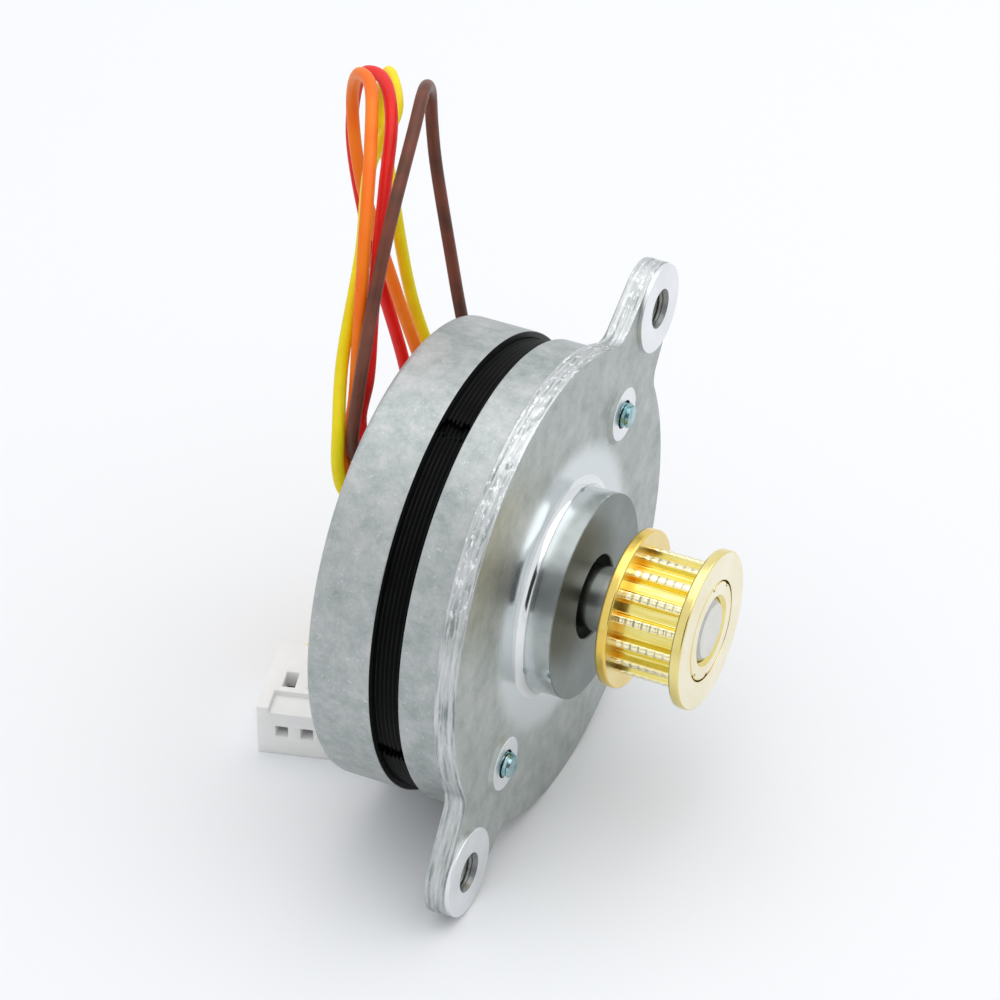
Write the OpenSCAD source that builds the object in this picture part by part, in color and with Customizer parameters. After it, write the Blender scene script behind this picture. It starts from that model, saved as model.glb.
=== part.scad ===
// Small round stepper motor with a toothed belt pulley, four leads and a plug.
// X is the shaft axis and points to the pulley. The machined faces of the two ears are at x = 0.
// Z points up as the motor stands, on the rim of its front plate and the tip of its lower ear.
// Angles go round the shaft from +Z towards +Y.

/* [Covers] */
// Diameter of the round covers
body_d = 36; // [35:0.5:39]
// How far the front plate stands out past the covers
plate_overhang = 0.5; // [0.3:0.1:1]
// Thickness of the front plate
plate_t = 1.7; // [1.5:0.1:2.1]
// Length of the front cover behind its plate
front_skirt_l = 3.1; // [2.8:0.1:4]
// Length of the rear cover
rear_cover_l = 5.1; // [4.9:0.1:6]
// Wall of both covers
cover_wall = 1.2; // [1:0.1:1.4]
// Floor of the rear cover
rear_floor_t = 1.5; // [1.3:0.1:1.7]
// Depth to which each cover takes the stack
register_depth = 0.8; // [0.6:0.1:1]
// Radius of the rear cover's back edge
back_edge_r = 0.4; // [0.2:0.1:0.8]
// Height of the machined pads above the front plate
pad_rise = 0.3; // [0.2:0.05:0.5]

/* [Boss] */
// Diameter of the pilot boss
boss_d = 16; // [14:0.5:18]
// Height of the boss above the front plate
boss_h = 2.7; // [2.5:0.1:3.2]
// Fillet at the foot of the boss
boss_fillet_r = 0.5; // [0.3:0.1:0.8]
// Diameter of the shaft opening in the boss
boss_opening_d = 6.6; // [6.4:0.1:7.4]

/* [Ears] */
// Diameter of the circle through both ear holes
ear_hole_circle_d = 45; // [44:0.5:48]
// Radius of an ear's round end
ear_end_r = 3.7; // [3.3:0.1:4.2]
// Angle by which each flank of an ear opens towards the plate
ear_flare = 11.5; // [6:0.5:15]
// Fillet between an ear and the plate's rim
ear_fillet_r = 2; // [1:0.25:3]
// Radius of an ear's machined pad
ear_pad_r = 3.5; // [3:0.1:3.6]
// Diameter of the tapped ear holes, at the thread's crests
ear_hole_d = 2.5; // [2:0.1:3.3]
// Depth of the countersink of an ear hole
ear_countersink = 0.32; // [0.1:0.02:0.5]

/* [Stack] */
// Length of the stack that shows between the covers
stack_exposed_l = 2.4; // [2:0.1:4]
// Step from the covers down to the stack's rim
stack_step = 0.5; // [0.4:0.05:0.6]
// Radial thickness of the back iron, as a share of the stack's radius
back_iron_share = 0.166; // [0.15:0.002:0.18]
// Number of poles
pole_count = 8; // [8]
// Width of a pole, as a share of the stack's radius
pole_share = 0.15; // [0.13:0.005:0.16]
// Teeth on each pole shoe
shoe_teeth = 5; // [3:1:5]
// Thickness of a pole shoe behind its teeth
shoe_web = 0.52; // [0.4:0.02:0.7]
// Width of the notches in the stack's rim
notch_w = 1.7; // [1.2:0.1:2.4]
// Depth of the notches in the stack's rim
notch_depth = 0.5; // [0.3:0.05:0.8]

/* [Rotor] */
// Teeth round the rotor
rotor_teeth = 50; // [40, 50, 60]
// Depth of the teeth on the rotor and on the shoes
motor_tooth_depth = 0.3; // [0.2:0.05:0.4]
// Air gap between rotor and shoes
air_gap = 0.08; // [0.05:0.01:0.1]
// Thickness of the rotor magnet
magnet_t = 1; // [0.6:0.1:1.4]
// How far the magnet's rim lies below the rotor teeth
magnet_inset = 1.5; // [0.8:0.1:2.5]

/* [Shaft and bearings] */
// Diameter of the shaft
shaft_d = 5; // [4.8:0.1:5.3]
// Outer diameter of the ball bearings
bearing_od = 9; // [8.8:0.1:10]
// Width of the ball bearings
bearing_w = 3; // [2.8:0.1:3.1]
// Diameter of the balls
ball_d = 1; // [0.9:0.05:1.1]
// Balls in each bearing
ball_count = 8; // [6:1:9]
// Wall left behind the rear bearing's pocket
rear_web_t = 0.5; // [0.4:0.05:0.6]
// Diameter of the opening behind the shaft's rear end
rear_opening_d = 6; // [5.8:0.1:6.6]
// Chamfer on the ends of the shaft
shaft_chamfer = 0.4; // [0.2:0.05:0.6]

/* [Pulley] */
// Teeth round the pulley
pulley_teeth = 16; // [15:1:20]
// Pitch of the belt
belt_pitch = 2.032; // [2:0.016:2.08]
// Depth of the tooth spaces
pulley_tooth_depth = 0.69; // [0.5:0.01:0.75]
// Width of a tooth space at its bottom
pulley_space_w = 0.84; // [0.7:0.02:0.9]
// Width of the toothed part between the flanges
belt_way_w = 5.05; // [4:0.25:8]
// Thickness of each pulley flange
flange_t = 0.85; // [0.6:0.05:1.2]
// Height of the flanges above the teeth
flange_rise = 1.23; // [0.8:0.01:1.6]
// Gap from the boss to the rear flange
pulley_gap = 2.75; // [0.5:0.25:5]

/* [Case screws] */
// Diameter of the case screws
screw_d = 2; // [1.8:0.1:2.2]
// Diameter of their heads
screw_head_d = 3.8; // [3.4:0.1:4.2]
// Height of their heads
screw_head_h = 1.3; // [1:0.1:1.6]
// How far their tips come out of the front pads
screw_tip_l = 0.9; // [0.3:0.1:1.4]
// Distance of the screws from the stack's rim, as a share of the stack's radius
screw_inset_share = 0.203; // [0.19:0.001:0.21]
// Radius of the columns and lobes round the screws, as a share of the stack's radius
screw_column_share = 0.12; // [0.11:0.001:0.123]

/* [Windings] */
// Thickness of the insulators on the stack's faces
insulator_t = 0.45; // [0.3:0.05:0.55]
// Thickness of the liners along the poles
liner_t = 0.15; // [0.1:0.05:0.25]
// Radial length of a coil, as a share of the stack's radius
coil_share = 0.1416; // [0.12:0.0004:0.16]
// Thickness of a coil at each side of its pole, as a share of the stack's radius
coil_build_share = 0.057; // [0.04:0.001:0.06]
// Space between the coils and the covers' inner faces
coil_end_gap = 0.55; // [0.4:0.05:0.7]

/* [Leads and plug] */
// Diameter of a lead over its insulation
lead_d = 1; // [0.8:0.05:1.1]
// Distance between neighbouring leads at the grommet
lead_pitch = 1.3; // [1.25:0.05:1.4]
// Distance of the grommet from the shaft axis
grommet_r = 8; // [8:0.1:8.4]
// Place of the grommet round the shaft
grommet_angle = -25; // [-30:1:-20]
// Thickness of the grommet's outer flange
grommet_flange_t = 0.7; // [0.5:0.05:0.9]
// Distance between the plug's terminals
plug_pitch = 2; // [1.8:0.05:2.2]
// Length of the plug housing
plug_l = 8; // [7.2:0.2:10]
// Height of the plug housing
plug_h = 4.6; // [4:0.1:5.5]
// Width of the housing beside its outer terminals
plug_cheek_w = 1.95; // [1.6:0.05:2.4]
// Side of the square ways for the terminals
plug_way_w = 1.5; // [1.4:0.05:1.6]
// Depth to which the leads enter the housing
lead_entry_l = 2.5; // [1.5:0.1:3]

/* [Hidden] */
$fn = 64;

// Fits between pieces
overrun = 0.5;
seat_gap = 0.01;
slip_gap = 0.02;
running_gap = 0.02;
screw_hole_gap = 0.1;
assembly_gap = 0.2;

// Radii of the covers and of the stack
body_r = body_d / 2;
plate_r = body_r + plate_overhang;
stack_r = body_r - stack_step;
register_r = stack_r + slip_gap;
cover_inner_r = body_r - cover_wall;
back_iron_t = back_iron_share * stack_r;
yoke_r = stack_r - back_iron_t;
floor_z = -plate_r;

// Places along the shaft, from the front to the back
plate_front_x = -pad_rise;
plate_back_x = plate_front_x - plate_t;
boss_top_x = plate_front_x + boss_h;
front_pocket_x = plate_back_x + bearing_w;
skirt_end_x = plate_back_x - front_skirt_l;
stack_front_x = skirt_end_x + register_depth;
rear_cover_front_x = skirt_end_x - stack_exposed_l;
stack_rear_x = rear_cover_front_x - register_depth;
rear_face_x = rear_cover_front_x - rear_cover_l;
rear_inner_x = rear_face_x + rear_floor_t;
rear_pocket_x = rear_face_x + rear_web_t;
stack_l = stack_front_x - stack_rear_x;
stack_mid_x = (stack_front_x + stack_rear_x) / 2;

// Ears: at this angle the lower ear's tip and the plate's rim stand on one level
ear_hole_r = ear_hole_circle_d / 2;
ear_angle = acos((plate_r - ear_end_r) / ear_hole_r);
ear_angles = [ear_angle, ear_angle + 180];
ear_crest_relief = 0.02;
ear_fillet_steps = 8;

// Case screws, on the line through the ears
screw_circle_r = stack_r * (1 - screw_inset_share);
screw_column_r = screw_column_share * stack_r;
screw_hole_r = screw_d / 2 + screw_hole_gap;
screw_thread_r = screw_d / 2 + slip_gap;
screw_pad_r = 2;
screw_pad_foot_r = 2.6;
screw_chamfer = 0.25;
screw_cross_w = 0.45;
screw_cross_share = 0.6;
screw_cross_depth_share = 0.5;
column_rib_w = 2.4;

// Bearings and shaft
shaft_r = shaft_d / 2;
bearing_r = bearing_od / 2;
seat_r = bearing_r + seat_gap;
ball_r = ball_d / 2;
ball_circle_r = (shaft_r + bearing_r) / 2;
race_gap_share = 0.4;
race_inner_r = ball_circle_r - race_gap_share * ball_d;
race_outer_r = ball_circle_r + race_gap_share * ball_d;
groove_r = ball_r + running_gap;
cage_half_t = 0.25;
cage_w = 1.8;
shield_t = 0.2;
shield_depth = 0.3;
shield_step_r = race_outer_r + 0.15 * ball_d;
shield_gap = 0.08;
washer_h = 0.35;
washer_t = 0.15;
washer_inset = 0.1;
washer_w = 1;
washer_waves = 3;
washer_steps = 48;
front_bearing_x = plate_back_x;
rear_bearing_x = rear_pocket_x + washer_h;
shoulder_front_x = front_bearing_x;
shoulder_rear_x = rear_bearing_x + bearing_w;
shaft_tail_inset = 0.4;
rear_hub_wall = 1.5;
rear_hub_r = bearing_r + rear_hub_wall;
hub_setback = 0.15;

// Windings, from the back iron inwards
winding_gap = 0.1;
guard_t = 0.5;
guard_trim = 0.14;
insulator_inset = 0.2;
pole_w = pole_share * stack_r;
coil_l = coil_share * stack_r;
coil_build = coil_build_share * stack_r;
coil_window_w = pole_w + 2 * (liner_t + slip_gap);
coil_half_w = coil_window_w / 2 + coil_build;
guard_w = 2 * coil_half_w - guard_trim;
insulator_inner_r = yoke_r - insulator_inset;
coil_outer_r = sqrt(pow(insulator_inner_r - winding_gap, 2) - pow(coil_half_w, 2));
coil_inner_r = coil_outer_r - coil_l;
guard_inner_r = coil_inner_r - winding_gap - guard_t;
insulator_outer_r = cover_inner_r - insulator_inset;
front_space = front_skirt_l - register_depth;
rear_space = rear_cover_l - rear_floor_t - register_depth;
coil_head_t = min(front_space, rear_space) - insulator_t - coil_end_gap;
coil_corner_r = 0.8;
coil_window_l = stack_l + 2 * (insulator_t + slip_gap);

// Rotor and stator
shoe_outer_r = guard_inner_r - winding_gap;
shoe_inner_r = shoe_outer_r - motor_tooth_depth - shoe_web;
rotor_r = shoe_inner_r - air_gap;
tooth_angle = 360 / rotor_teeth;
tooth_width_share = 0.5;
shoe_half_angle = tooth_angle * (shoe_teeth - 1 + tooth_width_share) / 2;
pole_angle = 360 / pole_count;
first_pole_angle = ear_angle + pole_angle / 2;
notch_count = 4;
cup_l = (stack_l - magnet_t) / 2;
cup_recess_depth = 0.4;
cup_recess_share = 0.75;
cup_hub_wall = 1.2;

// Pulley
belt_line_drop = 0.254;
pulley_tip_r = pulley_teeth * belt_pitch / (2 * PI) - belt_line_drop;
pulley_root_r = pulley_tip_r - pulley_tooth_depth;
pulley_space_flank = 20;
pulley_phase = 5.7;
pulley_nose_wall = 0.38;
pulley_nose_r = pulley_root_r - pulley_nose_wall;
pulley_flange_r = pulley_tip_r + flange_rise;
pulley_rear_x = boss_top_x + pulley_gap;
teeth_rear_x = pulley_rear_x + flange_t;
teeth_front_x = teeth_rear_x + belt_way_w;
pulley_front_x = teeth_front_x + flange_t;
flange_chamfer = 0.12;
bore_chamfer = 0.3;

// Grommet, leads and plug
lead_r = lead_d / 2;
lead_sides = 8;
lead_count = 4;
lead_straight_l = 0.8;
grommet_neck_w = lead_d + 2 * 0.6 * lead_d;
grommet_lip = 0.5;
grommet_inner_t = 0.5;
grommet_face_x = rear_face_x - grommet_flange_t;
plug_x = -20;
plug_y = 1.2;
plug_turn = 15;
plug_approach_l = 1.8;
plug_edge = 0.3;
plug_way_l = 6.6;
plug_pin_w = 1;
plug_window_w = 1;
plug_window_l = 1.8;
plug_window_setback = 3.4;
plug_step_l = 2.2;
plug_step_h = 0.5;
plug_rib_w = 1;
terminal_w = 1.3;
terminal_l = 4;
terminal_bore_w = 0.7;

// Routes of the leads from the grommet's face to the plug
yellow_run = [
    [-15, -5, 6.75], [-16, -5, 7.75], [-16.5, -4.75, 9.5], [-16.75, -4, 12.25],
    [-18, -0.75, 15.75], [-18.75, 4.25, 22.5], [-21, 10.5, 26], [-21, 14.75, 28],
    [-24, 19.5, 28], [-25.25, 20.5, 24.25], [-22.25, 16.5, 18.5], [-20.25, 15.25, 11],
    [-18, 14.75, 4.75], [-17, 14.5, -0.75], [-19.5, 12, -9.25], [-22, 9.75, -15.25],
];
orange_run = [
    [-15, -4, 7.25], [-16, -3.75, 8], [-16.75, -3.5, 9.5], [-16.5, -2, 13],
    [-17, 0, 17.5], [-18.25, 4, 24.75], [-20, 8.5, 28.75], [-22.5, 13.5, 30.75],
    [-24.5, 15.5, 30], [-25.75, 16.75, 26.5], [-24, 14.5, 21.25], [-20.5, 13, 13],
    [-17.5, 12.75, 4.25], [-16.25, 12.75, -3.5], [-17.75, 11.25, -10.5], [-21.25, 8.25, -16.25],
];
brown_run = [
    [-15, -2.75, 8], [-15.5, -3, 8.75], [-15.75, -3.75, 10.75], [-15.5, -3, 15.5],
    [-16.25, 1, 20.25], [-16.5, 4.5, 25.25], [-17.5, 10.75, 29.75], [-18.5, 14.5, 30.75],
    [-19.75, 18, 28.25], [-19.75, 18.25, 25.25], [-19, 17.25, 22.75], [-16.75, 15.75, 13.5],
    [-14.75, 14.75, 4], [-15, 14.75, -4.25], [-17, 13.25, -10.75], [-18.5, 11, -16.5],
];
red_run = [
    [-15, -1.5, 8.25], [-16, -1.25, 9], [-16.75, -0.5, 10.75], [-16.25, 0, 14.5],
    [-17, 2.5, 19], [-18.5, 7.75, 26], [-20, 12, 29.25], [-23, 16.5, 29.5],
    [-25.25, 18, 28.5], [-26.25, 18.5, 26.75], [-26.25, 17.5, 22.75], [-22.75, 13.75, 15.25],
    [-19.5, 13, 4.25], [-17.5, 10.25, -3.75], [-16.75, 9, -10.5], [-16.75, 7.25, -15],
];

// Colours
casting_color = "#b4baba";
machined_color = "#d4d8d8";
lamination_color = "#2b2d2e";
steel_color = "#9a9fa2";
brass_color = "#d9b34a";
screw_color = "#7f97a8";
nylon_color = "#26282a";
copper_color = "#b8672e";

// Shared shapes

// Lays what is drawn flat across the shaft: drawn +X becomes Y, drawn +Y becomes Z
module axial(x) {
    translate([x, 0, 0]) rotate([90, 0, 90]) children();
}

// Turns a flat shape so that its own +X points outwards at an angle round the shaft
module facing(angle) {
    rotate(90 - angle) children();
}

module rod(rear_x, front_x, r) {
    axial(rear_x) cylinder(h = front_x - rear_x, r = r);
}

// Turned body from points of radius and place along the shaft
module turned(points) {
    axial(0) rotate_extrude() polygon(points);
}

function arc(center, r, from, to, steps) = [
    for (k = [0:steps])
        let (a = from + (to - from) * k / steps)
        center + r * [cos(a), sin(a)]
];

module tube(rear_x, front_x, inner_r, outer_r) {
    turned([[inner_r, rear_x], [outer_r, rear_x], [outer_r, front_x], [inner_r, front_x]]);
}

// Rectangle with round corners, centred
module round_rect(l, w, r) {
    square([l - 2 * r, w], center = true);
    square([l, w - 2 * r], center = true);
    for (u = [-1, 1], v = [-1, 1]) translate([u * (l / 2 - r), v * (w / 2 - r)]) circle(r);
}

// Places of the case screws
module at_screws() {
    for (a = ear_angles) facing(a) translate([screw_circle_r, 0]) children();
}

// Covers

// One ear, drawn along +X from inside the plate to its round end
module ear_outline() {
    flank_x = sin(ear_flare) * ear_end_r;
    flank_y = cos(ear_flare) * ear_end_r;
    root_r = plate_r + ear_fillet_r - slip_gap;
    root_lift = ear_end_r + ear_fillet_r + ear_hole_r * sin(ear_flare);
    root_angle = asin(root_lift / root_r) - ear_flare;
    root_center = root_r * [cos(root_angle), sin(root_angle)];
    upper = concat(
        [[ear_hole_r + flank_x, flank_y]],
        arc(root_center, ear_fillet_r, 270 - ear_flare, 180 + root_angle, ear_fillet_steps)
    );
    lower = [for (k = [len(upper) - 1:-1:0]) [upper[k][0], -upper[k][1]]];
    polygon(concat(upper, [[plate_r / 2, 0]], lower));
    translate([ear_hole_r, 0]) circle(ear_end_r);
}

module ear_hole() {
    rod(plate_back_x - overrun, overrun, ear_hole_d / 2);
    turned([
        [0, -ear_countersink - ear_hole_d / 2],
        [ear_countersink + ear_hole_d / 2 + overrun, overrun],
        [0, overrun],
    ]);
}

// Column with its rib to the cover's wall; the rib stops short of the insulator
module screw_columns(floor_x, stack_x) {
    reach = stack_x - floor_x;
    clear = sign(reach) * (insulator_t + assembly_gap);
    axial(min(floor_x, stack_x)) linear_extrude(abs(reach)) at_screws() circle(screw_column_r);
    axial(min(floor_x, stack_x - clear)) linear_extrude(abs(reach - clear))
        at_screws() translate([0, -column_rib_w / 2])
            square([cover_inner_r + cover_wall / 2 - screw_circle_r, column_rib_w]);
}

module front_cover() {
    foot_r = boss_d / 2 + boss_fillet_r;
    color(casting_color) difference() {
        union() {
            turned(concat(
                [[boss_opening_d / 2, boss_top_x], [boss_d / 2, boss_top_x]],
                arc([foot_r, plate_front_x + boss_fillet_r], boss_fillet_r, 180, 270, 6),
                [
                    [plate_r, plate_front_x],
                    [plate_r, plate_back_x],
                    [body_r, plate_back_x],
                    [body_r, skirt_end_x],
                    [register_r, skirt_end_x],
                    [register_r, stack_front_x],
                    [cover_inner_r, stack_front_x],
                    [cover_inner_r, plate_back_x],
                    [seat_r, plate_back_x],
                    [seat_r, front_pocket_x],
                    [boss_opening_d / 2, front_pocket_x],
                ]
            ));
            axial(plate_back_x) linear_extrude(plate_t)
                for (a = ear_angles) facing(a) ear_outline();
            axial(plate_front_x) linear_extrude(pad_rise)
                for (a = ear_angles) facing(a) translate([ear_hole_r, 0]) circle(ear_pad_r);
            for (a = ear_angles) rotate([-a, 0, 0]) translate([0, 0, screw_circle_r])
                turned([
                    [0, plate_back_x],
                    [screw_pad_foot_r, plate_back_x],
                    [screw_pad_foot_r, plate_front_x],
                    [screw_pad_r, 0],
                    [0, 0],
                ]);
            screw_columns(plate_back_x, stack_front_x);
        }
        for (a = ear_angles) rotate([-a, 0, 0]) {
            translate([0, 0, ear_hole_r]) ear_hole();
            translate([0, 0, screw_circle_r])
                rod(stack_front_x - overrun, overrun, screw_thread_r);
        }
    }
}

module rear_cover() {
    color(casting_color) difference() {
        union() {
            turned(concat(
                [[rear_opening_d / 2, rear_face_x]],
                arc([body_r - back_edge_r, rear_face_x + back_edge_r], back_edge_r, 270, 360, 6),
                [
                    [body_r, rear_cover_front_x],
                    [register_r, rear_cover_front_x],
                    [register_r, stack_rear_x],
                    [cover_inner_r, stack_rear_x],
                    [cover_inner_r, rear_inner_x],
                    [rear_hub_r, rear_inner_x],
                    [rear_hub_r, shoulder_rear_x - hub_setback],
                    [seat_r, shoulder_rear_x - hub_setback],
                    [seat_r, rear_pocket_x],
                    [rear_opening_d / 2, rear_pocket_x],
                ]
            ));
            screw_columns(rear_inner_x, stack_rear_x);
        }
        axial(rear_face_x - overrun) linear_extrude(rear_cover_l + 2 * overrun)
            at_screws() circle(screw_hole_r);
        axial(rear_face_x - overrun) linear_extrude(rear_floor_t + 2 * overrun)
            grommet_outline(slip_gap);
    }
}

module case_screws() {
    cross_l = screw_head_d * screw_cross_share;
    cross_depth = screw_head_h * screw_cross_depth_share;
    color(screw_color) for (a = ear_angles) rotate([-a, 0, 0]) translate([0, 0, screw_circle_r])
        difference() {
            turned([
                [0, rear_face_x - screw_head_h],
                [screw_head_d / 2 - screw_chamfer, rear_face_x - screw_head_h],
                [screw_head_d / 2, rear_face_x - screw_head_h + screw_chamfer],
                [screw_head_d / 2, rear_face_x],
                [screw_d / 2, rear_face_x],
                [screw_d / 2, screw_tip_l - screw_chamfer],
                [screw_d / 2 - screw_chamfer, screw_tip_l],
                [0, screw_tip_l],
            ]);
            axial(rear_face_x - screw_head_h - overrun) linear_extrude(cross_depth + overrun) {
                square([cross_l, screw_cross_w], center = true);
                square([screw_cross_w, cross_l], center = true);
            }
        }
}

// Stator

// Teeth of one pole shoe, drawn along +X
module shoe_outline() {
    difference() {
        polygon(concat(
            arc([0, 0], shoe_outer_r, -shoe_half_angle, shoe_half_angle, 12),
            arc([0, 0], shoe_inner_r - motor_tooth_depth, shoe_half_angle, -shoe_half_angle, 12)
        ));
        for (k = [1:shoe_teeth - 1])
            rotate(tooth_angle * (k - shoe_teeth / 2))
                translate([shoe_inner_r - motor_tooth_depth, -tooth_gap_w() / 2])
                    square([2 * motor_tooth_depth, tooth_gap_w()]);
        circle(shoe_inner_r);
    }
}

function tooth_gap_w() = 2 * rotor_r * sin(tooth_angle * (1 - tooth_width_share) / 2);

module pole_outline() {
    translate([shoe_outer_r - shoe_web / 2, -pole_w / 2])
        square([yoke_r + back_iron_t / 2 - shoe_outer_r + shoe_web / 2, pole_w]);
    shoe_outline();
}

module stator_stack() {
    color(lamination_color) axial(stack_rear_x) linear_extrude(stack_l) difference() {
        union() {
            difference() {
                circle(stack_r);
                circle(yoke_r);
            }
            for (k = [0:pole_count - 1]) facing(first_pole_angle + k * pole_angle) pole_outline();
            at_screws() circle(screw_column_r);
        }
        at_screws() circle(screw_hole_r);
        for (k = [0:notch_count - 1]) facing(first_pole_angle + k * 360 / notch_count)
            translate([stack_r - notch_depth, -notch_w / 2]) square([notch_depth + overrun, notch_w]);
    }
}

// Insulator on one face of the stack; drawn for the front face
module insulator() {
    axial(0) linear_extrude(insulator_t) difference() {
        union() {
            difference() {
                circle(insulator_outer_r);
                circle(insulator_inner_r);
            }
            for (k = [0:pole_count - 1]) facing(first_pole_angle + k * pole_angle)
                translate([guard_inner_r, -pole_w / 2 - liner_t])
                    square([
                        insulator_inner_r + guard_t - guard_inner_r,
                        pole_w + 2 * liner_t,
                    ]);
        }
        at_screws() circle(screw_column_r + assembly_gap);
    }
    axial(0) linear_extrude(insulator_t + coil_head_t) for (k = [0:pole_count - 1])
        facing(first_pole_angle + k * pole_angle)
            for (r = [guard_inner_r, insulator_inner_r])
                translate([r, -guard_w / 2]) square([guard_t, guard_w]);
    axial(-stack_l / 2) linear_extrude(stack_l / 2) for (k = [0:pole_count - 1])
        facing(first_pole_angle + k * pole_angle)
            for (side = [-1, 1])
                translate([guard_inner_r, side * (pole_w + liner_t) / 2 - liner_t / 2])
                    square([coil_outer_r - guard_inner_r, liner_t]);
}

module front_insulator() {
    color(nylon_color) translate([stack_front_x, 0, 0]) insulator();
}

module rear_insulator() {
    color(nylon_color) translate([stack_rear_x, 0, 0]) mirror([1, 0, 0]) insulator();
}

module coils() {
    color(copper_color) for (k = [0:pole_count - 1])
        rotate([-first_pole_angle - k * pole_angle, 0, 0])
            translate([stack_mid_x, 0, coil_inner_r]) linear_extrude(coil_outer_r - coil_inner_r)
                difference() {
                    round_rect(
                        coil_window_l + 2 * (coil_head_t - slip_gap),
                        2 * coil_half_w,
                        coil_corner_r
                    );
                    square([coil_window_l, coil_window_w], center = true);
                }
}

// Rotor

module shaft() {
    tail_x = rear_face_x + shaft_tail_inset;
    color(steel_color) turned([
        [0, tail_x],
        [shaft_r - shaft_chamfer, tail_x],
        [shaft_r, tail_x + shaft_chamfer],
        [shaft_r, shoulder_rear_x],
        [race_inner_r, shoulder_rear_x],
        [race_inner_r, shoulder_front_x],
        [shaft_r, shoulder_front_x],
        [shaft_r, pulley_front_x - shaft_chamfer],
        [shaft_r - shaft_chamfer, pulley_front_x],
        [0, pulley_front_x],
    ]);
}

// Toothed cup; its recess is on the side away from the magnet
module rotor_cup(rear_x, turn, recess_x) {
    tip = tooth_angle * tooth_width_share / 2;
    points = [
        for (k = [0:rotor_teeth - 1], side = [-1, 1])
            let (a = k * tooth_angle)
            each side < 0
                ? [
                    (rotor_r - motor_tooth_depth) * [cos(a - tip), sin(a - tip)],
                    rotor_r * [cos(a - tip), sin(a - tip)],
                ]
                : [
                    rotor_r * [cos(a + tip), sin(a + tip)],
                    (rotor_r - motor_tooth_depth) * [cos(a + tip), sin(a + tip)],
                ]
    ];
    color(lamination_color) difference() {
        axial(rear_x) linear_extrude(cup_l) facing(first_pole_angle + turn) polygon(points);
        rod(rear_x - overrun, rear_x + cup_l + overrun, race_inner_r + seat_gap);
        tube(
            recess_x, recess_x + cup_recess_depth,
            race_inner_r + cup_hub_wall, rotor_r * cup_recess_share
        );
    }
}

module rotor_cup_front() {
    rotor_cup(stack_front_x - cup_l, 0, stack_front_x - cup_recess_depth);
}

module rotor_cup_rear() {
    rotor_cup(stack_rear_x, tooth_angle / 2, stack_rear_x);
}

module rotor_magnet() {
    color(steel_color) tube(
        stack_rear_x + cup_l, stack_front_x - cup_l,
        race_inner_r + seat_gap, rotor_r - magnet_inset
    );
}

// Ball bearings, each drawn with its rear face at x = 0

module bearing_outer_ring() {
    color(steel_color) difference() {
        tube(0, bearing_w, race_outer_r, bearing_r);
        axial(bearing_w / 2) rotate_extrude() translate([ball_circle_r, 0]) circle(groove_r);
        for (x = [-overrun, bearing_w - shield_depth])
            rod(x, x + shield_depth + overrun, shield_step_r);
    }
}

module bearing_inner_ring() {
    color(steel_color) difference() {
        tube(0, bearing_w, shaft_r + seat_gap, race_inner_r);
        axial(bearing_w / 2) rotate_extrude() translate([ball_circle_r, 0]) circle(groove_r);
    }
}

module bearing_balls() {
    color(machined_color) for (k = [0:ball_count - 1]) rotate([-k * 360 / ball_count, 0, 0])
        translate([bearing_w / 2, 0, ball_circle_r]) sphere(ball_r);
}

module bearing_cage() {
    color(brass_color) difference() {
        tube(
            (bearing_w - cage_w) / 2, (bearing_w + cage_w) / 2,
            ball_circle_r - cage_half_t, ball_circle_r + cage_half_t
        );
        for (k = [0:ball_count - 1]) rotate([-k * 360 / ball_count, 0, 0])
            translate([bearing_w / 2, 0, ball_circle_r - ball_r])
                cylinder(h = ball_d, r = ball_r + running_gap);
    }
}

module bearing_shields() {
    color(steel_color)
        for (x = [shield_depth - shield_t, bearing_w - shield_depth])
            tube(x, x + shield_t, race_inner_r + shield_gap, shield_step_r - slip_gap);
}

// Waved spring washer between the rear pocket and the rear bearing
module wave_washer() {
    inner_r = bearing_r - washer_inset - washer_w;
    swing = (washer_h - washer_t) / 2;
    points = [
        for (k = [0:washer_steps - 1])
            let (
                a = k * 360 / washer_steps,
                wave = swing * sin(a * washer_waves),
                x = rear_pocket_x + washer_h / 2 + wave
            )
            each [
                for (corner = [[0, -1], [1, -1], [1, 1], [0, 1]])
                    let (r = inner_r + corner[0] * washer_w)
                    [x + corner[1] * washer_t / 2, r * sin(a), r * cos(a)]
            ]
    ];
    faces = [
        for (k = [0:washer_steps - 1], c = [0:3])
            let (
                here = k * 4 + c,
                side = k * 4 + (c + 1) % 4,
                next = ((k + 1) % washer_steps) * 4 + c,
                over = ((k + 1) % washer_steps) * 4 + (c + 1) % 4
            )
            each [[here, next, side], [side, next, over]]
    ];
    color(machined_color) polyhedron(points, faces);
}

module front_bearing_outer_ring() {
    translate([front_bearing_x, 0, 0]) bearing_outer_ring();
}

module front_bearing_inner_ring() {
    translate([front_bearing_x, 0, 0]) bearing_inner_ring();
}

module front_bearing_balls() {
    translate([front_bearing_x, 0, 0]) bearing_balls();
}

module front_bearing_cage() {
    translate([front_bearing_x, 0, 0]) bearing_cage();
}

module front_bearing_shields() {
    translate([front_bearing_x, 0, 0]) bearing_shields();
}

module rear_bearing_outer_ring() {
    translate([rear_bearing_x, 0, 0]) bearing_outer_ring();
}

module rear_bearing_inner_ring() {
    translate([rear_bearing_x, 0, 0]) bearing_inner_ring();
}

module rear_bearing_balls() {
    translate([rear_bearing_x, 0, 0]) bearing_balls();
}

module rear_bearing_cage() {
    translate([rear_bearing_x, 0, 0]) bearing_cage();
}

module rear_bearing_shields() {
    translate([rear_bearing_x, 0, 0]) bearing_shields();
}

// Pulley

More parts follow.
